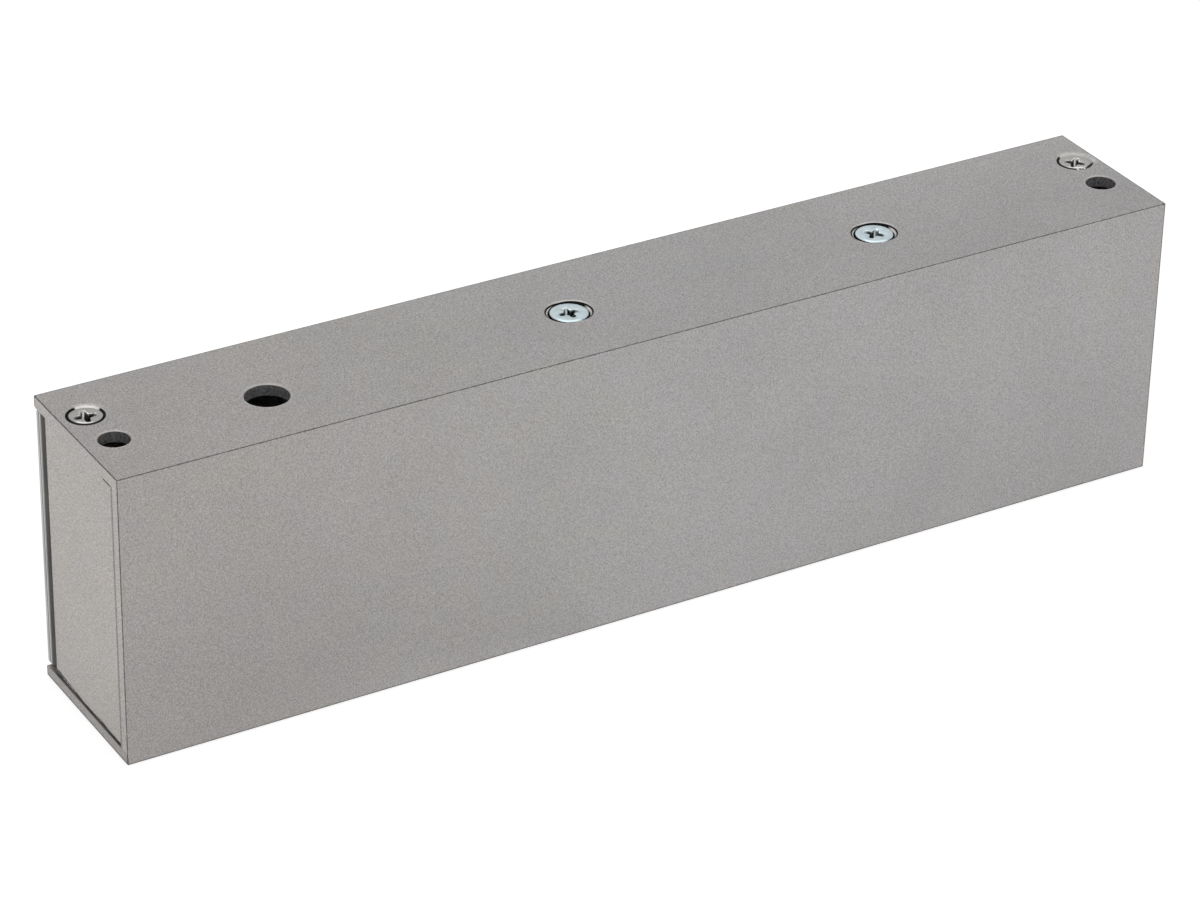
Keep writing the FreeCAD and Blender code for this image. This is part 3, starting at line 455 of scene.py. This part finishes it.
def round_holes(look):
    """How far a spot lies outside the nearest bolt or cable hole in the top flange."""
    gaps = []
    for mount in frame["record"]["mounts"]:
        dims = mount["dims"]
        reach = dims.get("spacing_x_mm", 0.0) / 2
        radius = dims.get("hole_r_mm", dims.get("r_mm"))
        if radius:
            along = look.away(look.away(look.x, mount["pos_m"][0] / MM), reach)
            across = look.calc("SUBTRACT", look.y, mount["pos_m"][1] / MM)
            gaps.append(look.calc("SUBTRACT", look.length_of(along, across), radius))
    return look.gathered("MINIMUM", gaps)


def tint_and_painted_light(look, base, front):
    """A tint that gets lighter and bluer towards the right, with patches of painted shade low at the left
    and right and painted light at the back right and high on the front at the left.
    """
    base = look.shade(base, look.mix(look.span(look.x, -100.0, 0.0), tone(LEFT_TINT), tone(RIGHT_TINT)))
    low_down = (look.z, 38.0, 8.0)
    # Each patch of painted light or shade has its factor and where it fades in along the axes
    patches = [
        (0.92, [(look.x, -35.0, -95.0), low_down]),
        (0.936, [(look.x, 0.0, 90.0), low_down]),
        (1.1, [(look.x, 20.0, 110.0), (look.y, -5.0, 15.0)]),
        (1.04, [(look.x, 40.0, -40.0), (look.y, front + 0.04, front + 0.02), (look.z, 5.0, 35.0)]),
    ]
    for factor, fades in patches:
        base = look.dye(look.product(*(look.span(*fade) for fade in fades)), base, factor)
    return base


def end_seams(look, base, color, inset, on_end, uneven):
    """A painted highlight along the top flange's lower edge, and a soft band of painted shade beside the
    front wall.
    """
    low, high = box_mm("housing")
    under_top = look.below(look.away(look.z, high.z - FLANGE_WALL), 0.05, 0.2)
    base = look.dye(look.product(on_end, under_top), base, TOP_SEAM_HIGHLIGHT)
    forward = look.calc("SUBTRACT", low.y + FRONT_WALL, look.y)
    between = look.above(inset[Z], FLANGE_WALL)
    seam = look.product(on_end, look.below(forward, SOFT_SEAM, 0.15), between)
    border = look.below(look.away(forward, SOFT_SEAM), 0.03, 0.12)
    softness = look.calc("ADD", look.vary(uneven, 0.32, 0.52), look.product(border, 0.25))
    return look.mix(look.product(seam, softness), base, tone(color, SEAM_SHADE))


def channel(name, color):
    """The channel, with painted light and shade: dark lines of painted shade on its broken edges, painted
    shade on its hole walls, and painted highlights and shadows round the screws.
    """
    look = Look(name)
    low, high = box_mm("housing")
    middle, half = (low + high) / 2, (high - low) / 2
    inset = [
        look.calc("SUBTRACT", half[axis], look.away(coordinate, middle[axis]))
        for axis, coordinate in enumerate((look.x, look.y, look.z))
    ]
    uneven = look.noise(0.9, 3.0, 0.7)
    base, roughness = blasted(look, color)
    # A tint along the channel, and patches of painted light and shade
    base = tint_and_painted_light(look, base, low.y)
    on_end = look.below(inset[X], SKIN, SKIN)
    low_strip = look.product(on_end, look.below(look.z, FLANGE_WALL))
    # Painted light: the channel's end faces are lighter, as if lit from the left
    base = look.dye(on_end, base, END_PAINTED_LIGHT)
    base = look.dye(low_strip, base, LOW_STRIP_DARKER)
    base = end_seams(look, base, color, inset, on_end, uneven)

    flat = look.turned_to(Z)
    within = look.above(look.calc("MINIMUM", inset[X], inset[Y]), 1.0, 0.2)
    sloping = look.product(within, look.above(flat, SLOPE_TURNS[0]), look.below(flat, SLOPE_TURNS[1]))
    drilled = look.product(within, look.below(flat, WALL_TURN, 0.2), look.below(inset[Z], FLANGE_WALL))
    on_top = look.product(look.above(flat, FLAT_TURN, 0.03), look.above(look.z, high.z - SKIN, SKIN))

    end_gap, end_side, end_offset = round_heads(look, "end_screws")
    core_gap, core_side, _ = round_heads(look, "core_screws")
    slot_gap, slot_side, _ = round_heads(look, "core_screws", CORE_SLOT_TRAVEL)
    end_side = more_highlit(look, end_side, end_offset)
    # Painted highlight on the flange round each screw, on one side of it
    end_fade = look.span(end_gap, *END_HIGHLIGHT_FADE, 0.9, 0.0)
    end_highlight = look.product(end_fade, look.above(end_side, 0.95, 0.25), look.span(uneven, 0.2, 0.6))
    core_highlight = look.product(look.span(slot_gap, *CORE_HIGHLIGHT_FADE, 1.0, 0.0), look.above(slot_side, 0.9, 0.5))
    # Painted highlight along the rims of the holes in the top flange
    rim = look.below(look.away(round_holes(look), HOLE_RIM), 0.15, 0.2)
    base = look.dye(look.product(rim, on_top), base, RIM_HIGHLIGHT)
    # Painted highlights round the screws, in bare metal's color
    base = look.mix(look.product(look.calc("MAXIMUM", end_highlight, core_highlight), on_top), base, tone(BARE_METAL_AND_HIGHLIGHT))

    # Painted shade: dark lines along the edges, wider on the outer ones
    outer = look.gathered("MAXIMUM", [
        look.below(look.z, OUTER_EDGE, 0.4),
        look.above(look.x, high.x - OUTER_EDGE, 0.4),
        look.above(look.y, high.y - OUTER_EDGE, 0.4),
    ])
    wider = look.product(
        look.span(outer, 0.0, 1.0, 1.0, OUTER_WIDER), look.span(low_strip, 0.0, 1.0, 1.0, LOW_STRIP_WIDER)
    )
    width = look.product(look.vary(uneven, *EDGE_LINE), wider)
    edges = look.below(look.calc("SUBTRACT", look.middle_of(*inset), width), 0.0, 0.06)
    base = look.mix(edges, base, look.mix(outer, tone(color, EDGE_SHADE), tone(color, OUTER_EDGE_SHADE)))
    # Painted shadow: a near-black ring round the core screws' slots, except opposite the highlight side
    ring = look.product(on_top, look.below(slot_gap, CORE_SHADOW_RING), look.above(slot_side, -0.4, 0.3))
    base = look.mix(ring, base, tone(NEAR_BLACK))
    # Painted shade in crevices, left off the bottom face
    under = look.below(look.z, 0.02, 0.02)
    base = look.mix(under, look.crevice_shaded(base, color, 0.8), base)

    # Painted shade on the walls of the drilled holes
    wall = look.mottle(tone(HOLE_WALL_SHADE), look.noise(0.5, 3.0, 0.7), 0.5, 2.0, (0.35, 0.7))
    base = look.mix(drilled, base, wall)
    # Painted light on sloping faces: the chamfers of the holes and the screw seats
    base = look.mix(sloping, base, tone(color, 1.2))
    # The end screws' seats: painted shadow, and painted highlight on one side
    seat_highlight = look.shade(tone(BARE_METAL_AND_HIGHLIGHT), look.span(look.x, -1.0, 1.0, 1.0, 0.72))
    end_seat = look.mix(look.above(end_side, 0.82, 0.08), tone(NEAR_BLACK), seat_highlight)
    base = look.mix(look.product(sloping, look.below(end_gap, SEAT_REACH)), base, end_seat)
    shadow = look.gathered("MAXIMUM", [
        look.above(slot_gap, SLOT_SHADOW, 0.08),
        look.below(core_gap, HEAD_SHADOW),
        look.above(look.calc("ABSOLUTE", core_side), 0.75, 0.2),
    ])
    # The core screws' seats: painted shadow, and bare metal with painted highlight elsewhere
    core_seat = look.mix(shadow, tone(BARE_METAL_AND_HIGHLIGHT), tone(NEAR_BLACK))
    base = look.mix(look.product(sloping, look.below(slot_gap, SEAT_REACH)), base, core_seat)
    return look.finish(base, look.span(drilled, 0.0, 1.0, 0.9, 0.0), roughness)


def end_plate(name, color):
    """An end plate with painted shade in its seams in front and on top and in the groove at its back, and a
    ragged gap painted under its back half: painted shade with light flecks.
    """
    look = Look(name)
    low, high = box_mm("end_plate_left")
    base, roughness = blasted(look, tinted(color, END_PLATE_TINT))
    # Painted shade in crevices
    base = look.crevice_shaded(base, color, 0.5)
    base = look.shade(base, look.span(look.z, low.z, low.z + 20.0, 0.94, 1.0))
    uneven = look.noise(1.1, 3.0, 0.7)

    # Painted shade in the seams along the front and at the top
    seam = look.product(look.below(look.y, low.y + SOFT_SEAM, 0.3), look.vary(uneven, 0.75, 0.35))
    top_seam = look.product(
        look.above(look.z, high.z - TOP_SEAM_HEIGHT, 0.15), look.below(look.y, low.y + TOP_SEAM_LENGTH, 0.5)
    )
    base = look.mix(look.calc("MAXIMUM", seam, top_seam), base, tone(color, 0.15))
    # Painted shadow in the groove at the back
    groove = look.above(look.y, high.y - PLATE_STEP - BLUR, 0.3)
    base = look.mix(look.product(groove, 0.85), base, tone(NEAR_BLACK))

    # A ragged gap painted under the back half: painted shade with light flecks, and a line of painted shadow
    # along its top
    back = look.span(look.y, low.y, high.y - PLATE_STEP)
    wedge = look.span(back, *GAP_OPENS, 0.0, GAP_HEIGHT)
    nick = look.product(look.above(back, NICK[0]), look.below(back, NICK[1]), NICK_HEIGHT)
    height = look.calc("ADD", look.calc("MAXIMUM", wedge, nick), look.vary(uneven, 0.0, 0.22))
    rise = look.calc("SUBTRACT", look.z, low.z)
    left = look.below(look.x, -1.0, 1.0)
    within = look.product(left, look.below(look.calc("SUBTRACT", rise, height), -0.05))
    broken = look.span(look.noise(1.8, 2.0, 0.6), 0.35, 0.6, 0.35, 0.93)
    line = look.product(left, look.below(look.away(rise, height), GAP_SHADOW_LINE, GAP_SHADOW_LINE), broken)
    rare = look.span(back, 0.6, 1.0, 0.4, 0.66)
    specks = look.above(look.calc("SUBTRACT", look.noise(0.45, 2.0, 0.8), rare), 0.0, 0.08)
    base = look.mix(within, base, look.mix(specks, tone(color, 0.13), tone(color, 0.95)))
    base = look.mix(line, base, tone(color, 0.05))
    return look.finish(base, 0.9, roughness)


def brushed_plate(name, color):
    """Satin sheet, brushed along the lock: a dark line on its ends, and on its front painted light near the
    ends and painted shade further in.
    """
    look = Look(name)
    low = box_mm("terminal_cover")[0]
    strokes = look.noise(0.3, 3.0, 0.6, (0.03, 1.0, 1.0))
    wear = look.noise(14.0, 3.0)
    base = look.mottle(tone(color), strokes, 0.84, 1.1)
    base = look.mottle(base, wear, 0.94, 1.04, NARROW)
    inward = look.calc("SUBTRACT", -low.x, look.calc("ABSOLUTE", look.x))
    on_end = look.below(inward, COVER_SKIN, COVER_SKIN)
    streaks = look.vary(look.noise(0.6, 2.0, 0.6, (1.0, 1.0, 0.05)), 0.75, 1.05, NARROW)
    base = look.dye(on_end, base, streaks)
    fold = look.product(on_end, look.below(look.away(look.y, low.y + COVER_FOLD), 0.12, 0.12))
    base = look.mix(fold, base, tone(color, 0.25))
    # On the front face: painted light near the ends, painted shade further in where the groove shades it
    on_front = look.below(look.y, low.y + COVER_SKIN, COVER_SKIN)
    front_shade = look.shade(tone(color, 0.7), streaks)
    base = look.mix(on_front, base, look.mix(look.span(inward, *COVER_CORNER), tone(color, 1.9), front_shade))
    look.bump(strokes, 0.15, 0.01)
    return look.finish(base, look.span(on_front, 0.0, 1.0, 0.92, 0.0), look.vary(wear, 0.34, 0.44))


def milled(name, color):
    """Extruded aluminium as it comes from the die, with long draw marks up it."""
    look = Look(name)
    marks = look.noise(0.4, 2.0, 0.6, (1.0, 1.0, 0.02))
    # Painted shade in crevices
    base = look.crevice_shaded(look.mottle(tone(color), marks, 0.86, 1.08), color, 0.8)
    return look.finish(base, 0.95, look.vary(marks, 0.3, 0.42))


def plated(name, color, roughness, node, edge, lit):
    """A plated, lightly mottled screw with painted light and shade: a painted highlight on its lip, painted
    shade in its cross, in crevices and in a ring round its head, painted highlights on the bevels and one
    glint.

    The edge is how wide a line of painted shadow shows round the heads in the top flange, and lit is how
    much brighter the painted highlight on their lips is. Heads with such a line are chipped too, at the
    right end.
    """
    look = Look(name)
    mottle = look.noise(0.8, 3.0, 0.6)
    base = look.mottle(tone(color), mottle, 0.88, 1.08)
    base = look.shade(base, look.span(look.x, -110.0, 110.0, 0.92, 1.12))
    gap, side, offset = round_heads(look, node)
    depth = look.calc("SUBTRACT", box_mm(node)[1].z, look.z)
    shallow = look.below(depth, HEAD_ZONE)
    width = look.span(side, -1.0, 0.3, *(reach * edge for reach in LINE_REACH))
    inside = look.calc("SUBTRACT", gap, width)
    # Painted highlight on the near lip of each head, then painted shade in crevices
    lip = look.product(shallow, look.above(inside, LIP, 0.2), look.below(side, -0.9, 0.2))
    base = look.crevice_shaded(look.dye(lip, base, lit), color, 1.6, 0.7)

    deep = look.product(shallow, look.below(gap, CROSS_START), look.span(depth, *CROSS_SHADOW))
    # Painted shade: a ring round each head away from the highlight side, and deep in the crosses
    off_highlight = look.below(more_highlit(look, side, offset), 0.4, 0.3)
    ring = look.product(shallow, look.above(inside, 0.06, 0.08), off_highlight)
    rear = look.calc("SUBTRACT", box_mm("cover_screws")[1].y, look.y)
    deep_rear = look.product(look.below(rear, REAR_HEAD_ZONE), look.span(rear, *CROSS_SHADOW))
    dark = look.gathered("MAXIMUM", [ring, look.product(deep, 0.9), look.product(deep_rear, 0.8)])
    base = look.mix(dark, base, tone(color, 0.03))

    ragged = look.above(look.noise(0.5, 2.0, 0.8), 0.52, 0.05)
    across = look.span(look.x, -20.0, 50.0, *GLINT_OFFSETS)
    glint = look.product(deep, look.below(look.away(offset, across), GLINT_WIDTH, 0.08))
    # Painted highlights on the bevels at the mouth of the cross, on the highlight side
    at_mouth = look.product(look.above(depth, 0.01, 0.01), look.below(depth, 0.05, 0.03))
    bevel = look.product(at_mouth, look.below(gap, -0.9), look.above(side, 0.3, 0.4), ragged)
    bright = [glint, bevel]
    if edge:
        on_rim = look.product(look.above(gap, -0.6, 0.2), shallow, look.below(side, -0.7))
        to_right = look.product(look.above(look.x, 0.0, 1.0), look.above(offset, 0.2, 0.3))
        bright.append(look.product(on_rim, to_right, ragged))
    base = look.mix(look.gathered("MAXIMUM", bright), base, tone(GLINT))
    look.bump(look.noise(0.3, 1.0), 0.1, 0.01)
    metallic = look.span(glint, 0.0, 1.0, 1.0, 0.0)
    return look.finish(base, metallic, look.vary(mottle, roughness - 0.05, roughness + 0.07))


def nickel(name, color):
    return plated(name, tinted(color, NICKEL_TINT), 0.36, "end_screws", edge=0.2, lit=2.2)


def zinc(name, color):
    return plated(name, tinted(color, ZINC_TINT), 0.3, "core_screws", edge=0.0, lit=1.6)


def laminations(name, color):
    """Ground edges of stacked steel sheets, with one thin dark line between each two."""
    look = Look(name)
    ground = look.noise(0.35, 3.0, 0.6, (0.04, 1.0, 1.0))
    base = look.shade(tone(color), look.span(look.per_strip(look.x, SHEET_PITCH), 0.0, 1.0, 0.9, 1.08))
    base = look.mottle(base, ground, 0.85, 1.12)
    base = look.mix(look.lines(look.x, SHEET_PITCH, 0.12), base, tone(color, 0.25))
    # Painted shade in crevices
    base = look.crevice_shaded(base, color, 0.6)
    look.bump(ground, 0.12, 0.01)
    return look.finish(base, 0.95, look.vary(ground, 0.3, 0.42))


def ground_steel(name, color):
    look = Look(name)
    ground = look.noise(0.35, 3.0, 0.6, (0.04, 1.0, 1.0))
    base = look.mottle(tone(color), ground, 0.85, 1.1)
    # Painted shade in crevices
    base = look.crevice_shaded(base, color, 0.6)
    look.bump(ground, 0.12, 0.01)
    return look.finish(base, 0.95, look.vary(ground, 0.26, 0.38))


def cast_resin(name, color):
    """Black epoxy, ground flat, with a few burst bubbles and faint grinding marks."""
    look = Look(name)
    swirl = look.noise(5.0, 4.0, 0.6)
    marks = look.noise(0.4, 2.0, 0.6, (0.05, 1.0, 1.0))
    bubbles = look.pits(3.2, 0.12)
    base = look.mottle(tone(color, 0.6), swirl, 0.5, 1.5)
    base = look.mix(look.calc("MULTIPLY", bubbles, 0.8), base, tone(color, 0.15))
    look.bump(look.calc("SUBTRACT", look.calc("MULTIPLY", marks, 0.15), bubbles), 0.5, 0.15)
    return look.finish(base, 0.0, look.vary(swirl, 0.24, 0.42))


def moulded(name, color, roughness=0.45):
    """Moulded plastic with a fine eroded texture."""
    look = Look(name)
    grain = look.noise(0.25, 2.0)
    flow = look.noise(6.0, 2.0)
    base = look.mottle(tone(color), flow, 0.88, 1.12)
    look.bump(grain, 0.25, 0.02)
    return look.finish(base, 0.0, look.vary(grain, roughness - 0.06, roughness + 0.08))


def copper_turns(name, color):
    """Enamelled wire, wound side by side."""
    look = Look(name)
    gaps = look.lines(look.y, TURN_PITCH, 0.25)
    turns = look.span(look.per_strip(look.y, TURN_PITCH), 0.0, 1.0, 0.85, 1.15)
    base = look.mix(gaps, look.shade(tone(color), turns), tone(color, 0.2))
    look.bump(look.calc("SUBTRACT", 1.0, gaps), 0.6, 0.2)
    return look.finish(base, 0.8, look.vary(look.noise(3.0), 0.22, 0.34))


def tape(name, color):
    """Glossy polyester tape, wound in overlapping strips."""
    look = Look(name)
    edges = look.lines(look.x, TAPE_PITCH, 0.03)
    wrinkles = look.noise(2.5, 3.0, 0.6, (0.3, 1.0, 1.0))
    base = look.mottle(tone(color), wrinkles, 0.8, 1.12)
    base = look.mix(edges, base, tone(color, 0.55))
    look.bump(wrinkles, 0.3, 0.15)
    return look.finish(base, 0.0, look.vary(wrinkles, 0.18, 0.3))


def sleeve(name, color):
    """Glossy PVC insulation, slightly uneven."""
    look = Look(name)
    uneven = look.noise(1.2, 2.0)
    base = look.mottle(tone(color), uneven, 0.85, 1.2)
    look.bump(uneven, 0.15, 0.1)
    return look.finish(base, 0.0, look.vary(uneven, 0.26, 0.36))


def board(name, color):
    """Green solder resist over copper tracks and a woven laminate."""
    look = Look(name)
    upward_pitch, across_pitch = TRACK_PITCHES
    weave = look.product(look.lines(look.x, WEAVE_PITCH, 0.4), look.lines(look.z, WEAVE_PITCH, 0.4))
    upward_parts = look.above(look.noise(9.0, 0.0), 0.5, 0.01)
    across_parts = look.above(look.noise(7.0, 0.0), 0.5, 0.01)
    upward = look.product(look.lines(look.x, upward_pitch, 0.09), upward_parts)
    across = look.product(look.lines(look.z, across_pitch, 0.07), across_parts)
    tracks = look.calc("MAXIMUM", upward, across)
    base = look.shade(tone(color), look.span(weave, 0.0, 1.0, 0.92, 1.06))
    base = look.mix(tracks, base, tone(color, 1.6))
    look.bump(tracks, 0.3, 0.05)
    return look.finish(base, 0.0, look.span(weave, 0.0, 1.0, 0.2, 0.28))


def turned_brass(name, color):
    look = Look(name)
    cuts = look.lines(look.y, CUT_PITCH, 0.4)
    base = look.mottle(tone(color), look.noise(1.5, 3.0), 0.88, 1.08)
    look.bump(cuts, 0.15, 0.02)
    # Painted shade in crevices
    return look.finish(look.crevice_shaded(base, color, 0.6), 1.0, look.span(cuts, 0.0, 1.0, 0.22, 0.3))


def dipped(name, color):
    """A disc dipped in glossy blue coating, with tinned legs below it."""
    look = Look(name)
    low = box_mm(node_of_slot["varistor_coat"])[0]
    leg = look.below(look.y, low.y + VARISTOR_LEGS, 0.05)
    runs = look.noise(2.2, 2.0)
    base = look.mottle(tone(color), runs, 0.8, 1.2)
    look.bump(runs, 0.3, 0.25)
    return look.finish(look.mix(leg, base, tone(TINNED)), leg, look.vary(runs, 0.14, 0.26))


def banded(name, color):
    """A black diode with a pale band at one end and tinned legs."""
    look = Look(name)
    low, high = box_mm(node_of_slot["diode_case"])
    middle, reach = (low + high) / 2, DIODE_LENGTH / 2
    leg = look.above(look.away(look.x, middle.x), reach + 0.05, 0.04)
    band = look.below(look.away(look.x, middle.x + DIODE_BAND * reach), DIODE_BAND_WIDTH / 2, 0.03)
    grain = look.noise(0.4, 2.0)
    base = look.mix(band, look.mottle(tone(color), grain, 0.8, 1.3), tone(TINNED))
    return look.finish(look.mix(leg, base, tone(TINNED)), leg, look.vary(grain, 0.3, 0.42))


FINISHES = {
    "anodised_channel": channel,
    "anodised_plate": end_plate,
    "nickel_screw": nickel,
    "zinc_screw": zinc,
    "rear_plate": brushed_plate,
    "partition": milled,
    "lamination_steel": laminations,
    "clamp_steel": ground_steel,
    "former_plastic": moulded,
    "enamelled_copper": copper_turns,
    "insulating_tape": tape,
    "lead_red": sleeve,
    "lead_black": sleeve,
    "resin": cast_resin,
    "board_laminate": board,
    "brass_pillar": turned_brass,
    "terminal_plastic": moulded,
    "clamp_brass": turned_brass,
    "varistor_coat": dipped,
    "diode_case": banded,
}
node_of_slot = {entry["material_slot"]: entry["node"] for entry in frame["record"]["subparts"]}


def make_finishes():
    return {
        entry["slot"]: FINISHES[entry["slot"]](entry["slot"], entry["base_color"])
        for entry in frame["record"]["materials"]
    }


def dress_nodes(finishes):
    """Gives every CAD node the finish of its slot."""
    for entry in frame["record"]["subparts"]:
        materials = frame["nodes"][entry["node"]].data.materials
        materials.clear()
        materials.append(finishes[entry["material_slot"]])


def cross_reach(angle, arm, half_width, middle):
    """How far a cross with rounded corners and a round middle reaches at an angle."""
    along, aside = abs(math.cos(angle)), abs(math.sin(angle))
    power = CROSS_ROUNDNESS
    flat = (along / arm) ** power + (aside / half_width) ** power
    upright = (aside / arm) ** power + (along / half_width) ** power
    return (1 / flat + 1 / upright + middle ** power) ** (1 / power)


def screw_rings(head, thread, length, cross, turn):
    """Rings of a countersunk screw from its tip up and down into its cross.

    Each ring is its reach at every angle and its height, counted up from the head's top.
    """
    angles = [math.tau * step / SCREW_ANGLES for step in range(SCREW_ANGLES)]
    turned = [
        (thread / 2 - THREAD_TIP, -length),
        (thread / 2, THREAD_TIP - length),
        (thread / 2, -HEAD_RIM - (head - thread) / 2),
        (head / 2, -HEAD_RIM),
    ]
    for step in range(EDGE_STEPS + 1):
        slope = math.pi / 2 * step / EDGE_STEPS
        turned.append((
            head / 2 - HEAD_EDGE * (1 - math.cos(slope)), HEAD_EDGE * (math.sin(slope) - 1)
        ))
    rings = [([reach] * SCREW_ANGLES, height) for reach, height in turned]
    for depth, share, bevel in [(0.0, 1.0, CROSS_BEVEL)] + [(*level, 0.0) for level in CROSS_LEVELS]:
        half_width = CROSS_ARM / 2 * (ARM_LEAST + (1 - ARM_LEAST) * share) + bevel
        sizes = (cross / 2 * share + bevel, half_width, CROSS_MIDDLE * share + bevel)
        reach = [cross_reach(angle - turn, *sizes) for angle in angles]
        rings.append((reach, -CROSS_DEPTH * depth))
    return angles, rings


def add_screw(points, faces, head_middle, axes, size):
    """Adds one screw to a mesh, with its head's top middle and its three axes."""
    angles, rings = screw_rings(*size)
    right, ahead, out = axes
    start = len(points)
    for reaches, height in rings:
        for angle, reach in zip(angles, reaches):
            aside = right * (math.cos(angle) * reach) + ahead * (math.sin(angle) * reach)
            points.append((head_middle + aside + out * height) * MM)
    for ring in range(len(rings) - 1):
        for step in range(SCREW_ANGLES):
            one = start + ring * SCREW_ANGLES + step
            two = start + ring * SCREW_ANGLES + (step + 1) % SCREW_ANGLES
            faces.append((one, two, two + SCREW_ANGLES, one + SCREW_ANGLES))
    faces.append(tuple(start + step for step in reversed(range(SCREW_ANGLES))))
    last = start + (len(rings) - 1) * SCREW_ANGLES
    faces.append(tuple(last + step for step in range(SCREW_ANGLES)))


def make_screws(node, finishes):
    """One piece of finely made screws in the place of a CAD node's plain ones."""
    slot, axes, thread, cross, turns = SCREWS[node]
    out = axes[2]
    points, faces = [], []
    for (low, high), turn in zip(solids_of(node), turns):
        extent = high - low
        length = extent.dot(out)
        head = (extent - out * length).x
        head_middle = (low + high) / 2 + out * length / 2
        add_screw(points, faces, head_middle, axes, (head, thread, length, cross, math.radians(turn)))
    mesh = bpy.data.meshes.new(f"{node}_fine")
    mesh.from_pydata(points, [], faces)
    mesh.polygons.foreach_set("use_smooth", [True] * len(faces))
    mesh.set_sharp_from_angle(angle=SHARP_ANGLE)
    mesh.materials.append(finishes[slot])
    piece = bpy.data.objects.new(f"{node}_fine", mesh)
    bpy.context.scene.collection.objects.link(piece)
    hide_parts(node)
    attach(piece, "root")


def path_level(tree, kinds, seen, unseen):
    """One number for the given kinds of ray and another for the rest."""
    path = tree.nodes.new("ShaderNodeLightPath")
    total = path.outputs[kinds[0]]
    for kind in kinds[1:]:
        either = tree.nodes.new("ShaderNodeMath")
        either.operation = "MAXIMUM"
        tree.links.new(total, either.inputs[0])
        tree.links.new(path.outputs[kind], either.inputs[1])
        total = either.outputs[0]
    level = tree.nodes.new("ShaderNodeMix")
    tree.links.new(total, level.inputs[0])
    for place, given in zip(MIX_NUMBERS, (unseen, seen)):
        feed(tree, level.inputs[place], given)
    return level.outputs[MIXED_NUMBER]


def clear_from_below(tree):
    """1 where the floor is seen from below or lies just under the lock, 0 elsewhere."""
    near = tree.nodes.new("ShaderNodeMath")
    near.operation = "LESS_THAN"
    tree.links.new(tree.nodes.new("ShaderNodeLightPath").outputs["Ray Length"], near.inputs[0])
    near.inputs[1].default_value = GLASS_REACH
    clear = tree.nodes.new("ShaderNodeMath")
    clear.operation = "MAXIMUM"
    tree.links.new(tree.nodes.new("ShaderNodeNewGeometry").outputs["Backfacing"], clear.inputs[0])
    tree.links.new(near.outputs[0], clear.inputs[1])
    return clear.outputs[0]


def make_floor():
    """A plain pale floor that shows white and keeps the lock's shadow."""
    mesh = bpy.data.meshes.new("floor")
    sides = ((-1, -1), (1, -1), (1, 1), (-1, 1))
    corners = [(x * FLOOR_HALF, y * FLOOR_HALF, -FLOOR_GAP) for x, y in sides]
    mesh.from_pydata(corners, [], [(0, 1, 2, 3)])
    floor = bpy.data.objects.new("floor", mesh)
    bpy.context.scene.collection.objects.link(floor)
    material = bpy.data.materials.new("floor")
    material.use_nodes = True
    tree = material.node_tree
    tree.nodes.remove(tree.nodes["Principled BSDF"])
    paper = tree.nodes.new("ShaderNodeBsdfDiffuse")
    paper.inputs["Color"].default_value = (FLOOR_TONE, FLOOR_TONE, FLOOR_TONE, 1.0)
    glow = tree.nodes.new("ShaderNodeEmission")
    shown = ("Is Camera Ray", "Is Glossy Ray", "Is Transmission Ray")
    tree.links.new(path_level(tree, shown, FLOOR_GLOW, 0.0), glow.inputs["Strength"])
    both = tree.nodes.new("ShaderNodeAddShader")
    tree.links.new(paper.outputs[0], both.inputs[0])
    tree.links.new(glow.outputs[0], both.inputs[1])
    seen = tree.nodes.new("ShaderNodeMixShader")
    tree.links.new(clear_from_below(tree), seen.inputs[0])
    tree.links.new(both.outputs[0], seen.inputs[1])
    tree.links.new(tree.nodes.new("ShaderNodeBsdfTransparent").outputs[0], seen.inputs[2])
    tree.links.new(seen.outputs[0], tree.nodes["Material Output"].inputs["Surface"])
    mesh.materials.append(material)


def make_sky():
    """An even studio sky, white to the camera and softer where the metal mirrors it."""
    world = bpy.data.worlds.new("studio")
    world.use_nodes = True
    tree = world.node_tree
    mirrored = path_level(tree, ("Is Glossy Ray",), SKY_MIRRORED, SKY_LIGHT)
    seen = path_level(tree, ("Is Camera Ray", "Is Transmission Ray"), SKY_SEEN, mirrored)
    background = tree.nodes["Background"]
    background.inputs["Color"].default_value = (1.0, 1.0, 1.0, 1.0)
    tree.links.new(seen, background.inputs["Strength"])
    bpy.context.scene.world = world


def make_lamps():
    for name, place, side, power in LAMPS:
        light = bpy.data.lights.new(name, "AREA")
        light.size = side
        light.energy = power
        lamp = bpy.data.objects.new(name, light)
        lamp.location = place
        lamp.rotation_euler = (LAMP_AIM - Vector(place)).to_track_quat("-Z", "Y").to_euler()
        bpy.context.scene.collection.objects.link(lamp)


def make_camera():
    data = bpy.data.cameras.new("camera")
    data.lens = CAMERA_LENS
    data.sensor_width = SENSOR_WIDTH
    data.sensor_fit = "HORIZONTAL"
    camera = bpy.data.objects.new("camera", data)
    bpy.context.scene.collection.objects.link(camera)
    back = Vector((
        math.sin(CAMERA_AZIMUTH) * math.cos(CAMERA_ELEVATION),
        -math.cos(CAMERA_AZIMUTH) * math.cos(CAMERA_ELEVATION),
        math.sin(CAMERA_ELEVATION),
    ))
    level = Vector((math.cos(CAMERA_AZIMUTH), math.sin(CAMERA_AZIMUTH), 0.0))
    upright = back.cross(level)
    right = math.cos(CAMERA_ROLL) * level + math.sin(CAMERA_ROLL) * upright
    up = back.cross(right)
    place = CAMERA_AIM + back * CAMERA_DISTANCE
    turn = Matrix((right, up, back)).transposed()
    camera.matrix_world = Matrix.Translation(place) @ turn.to_4x4()
    bpy.context.scene.camera = camera


finishes = make_finishes()
dress_nodes(finishes)
for node in SCREWS:
    make_screws(node, finishes)
make_floor()
make_sky()
make_lamps()
make_camera()
bpy.context.scene.view_settings.view_transform = "Standard"
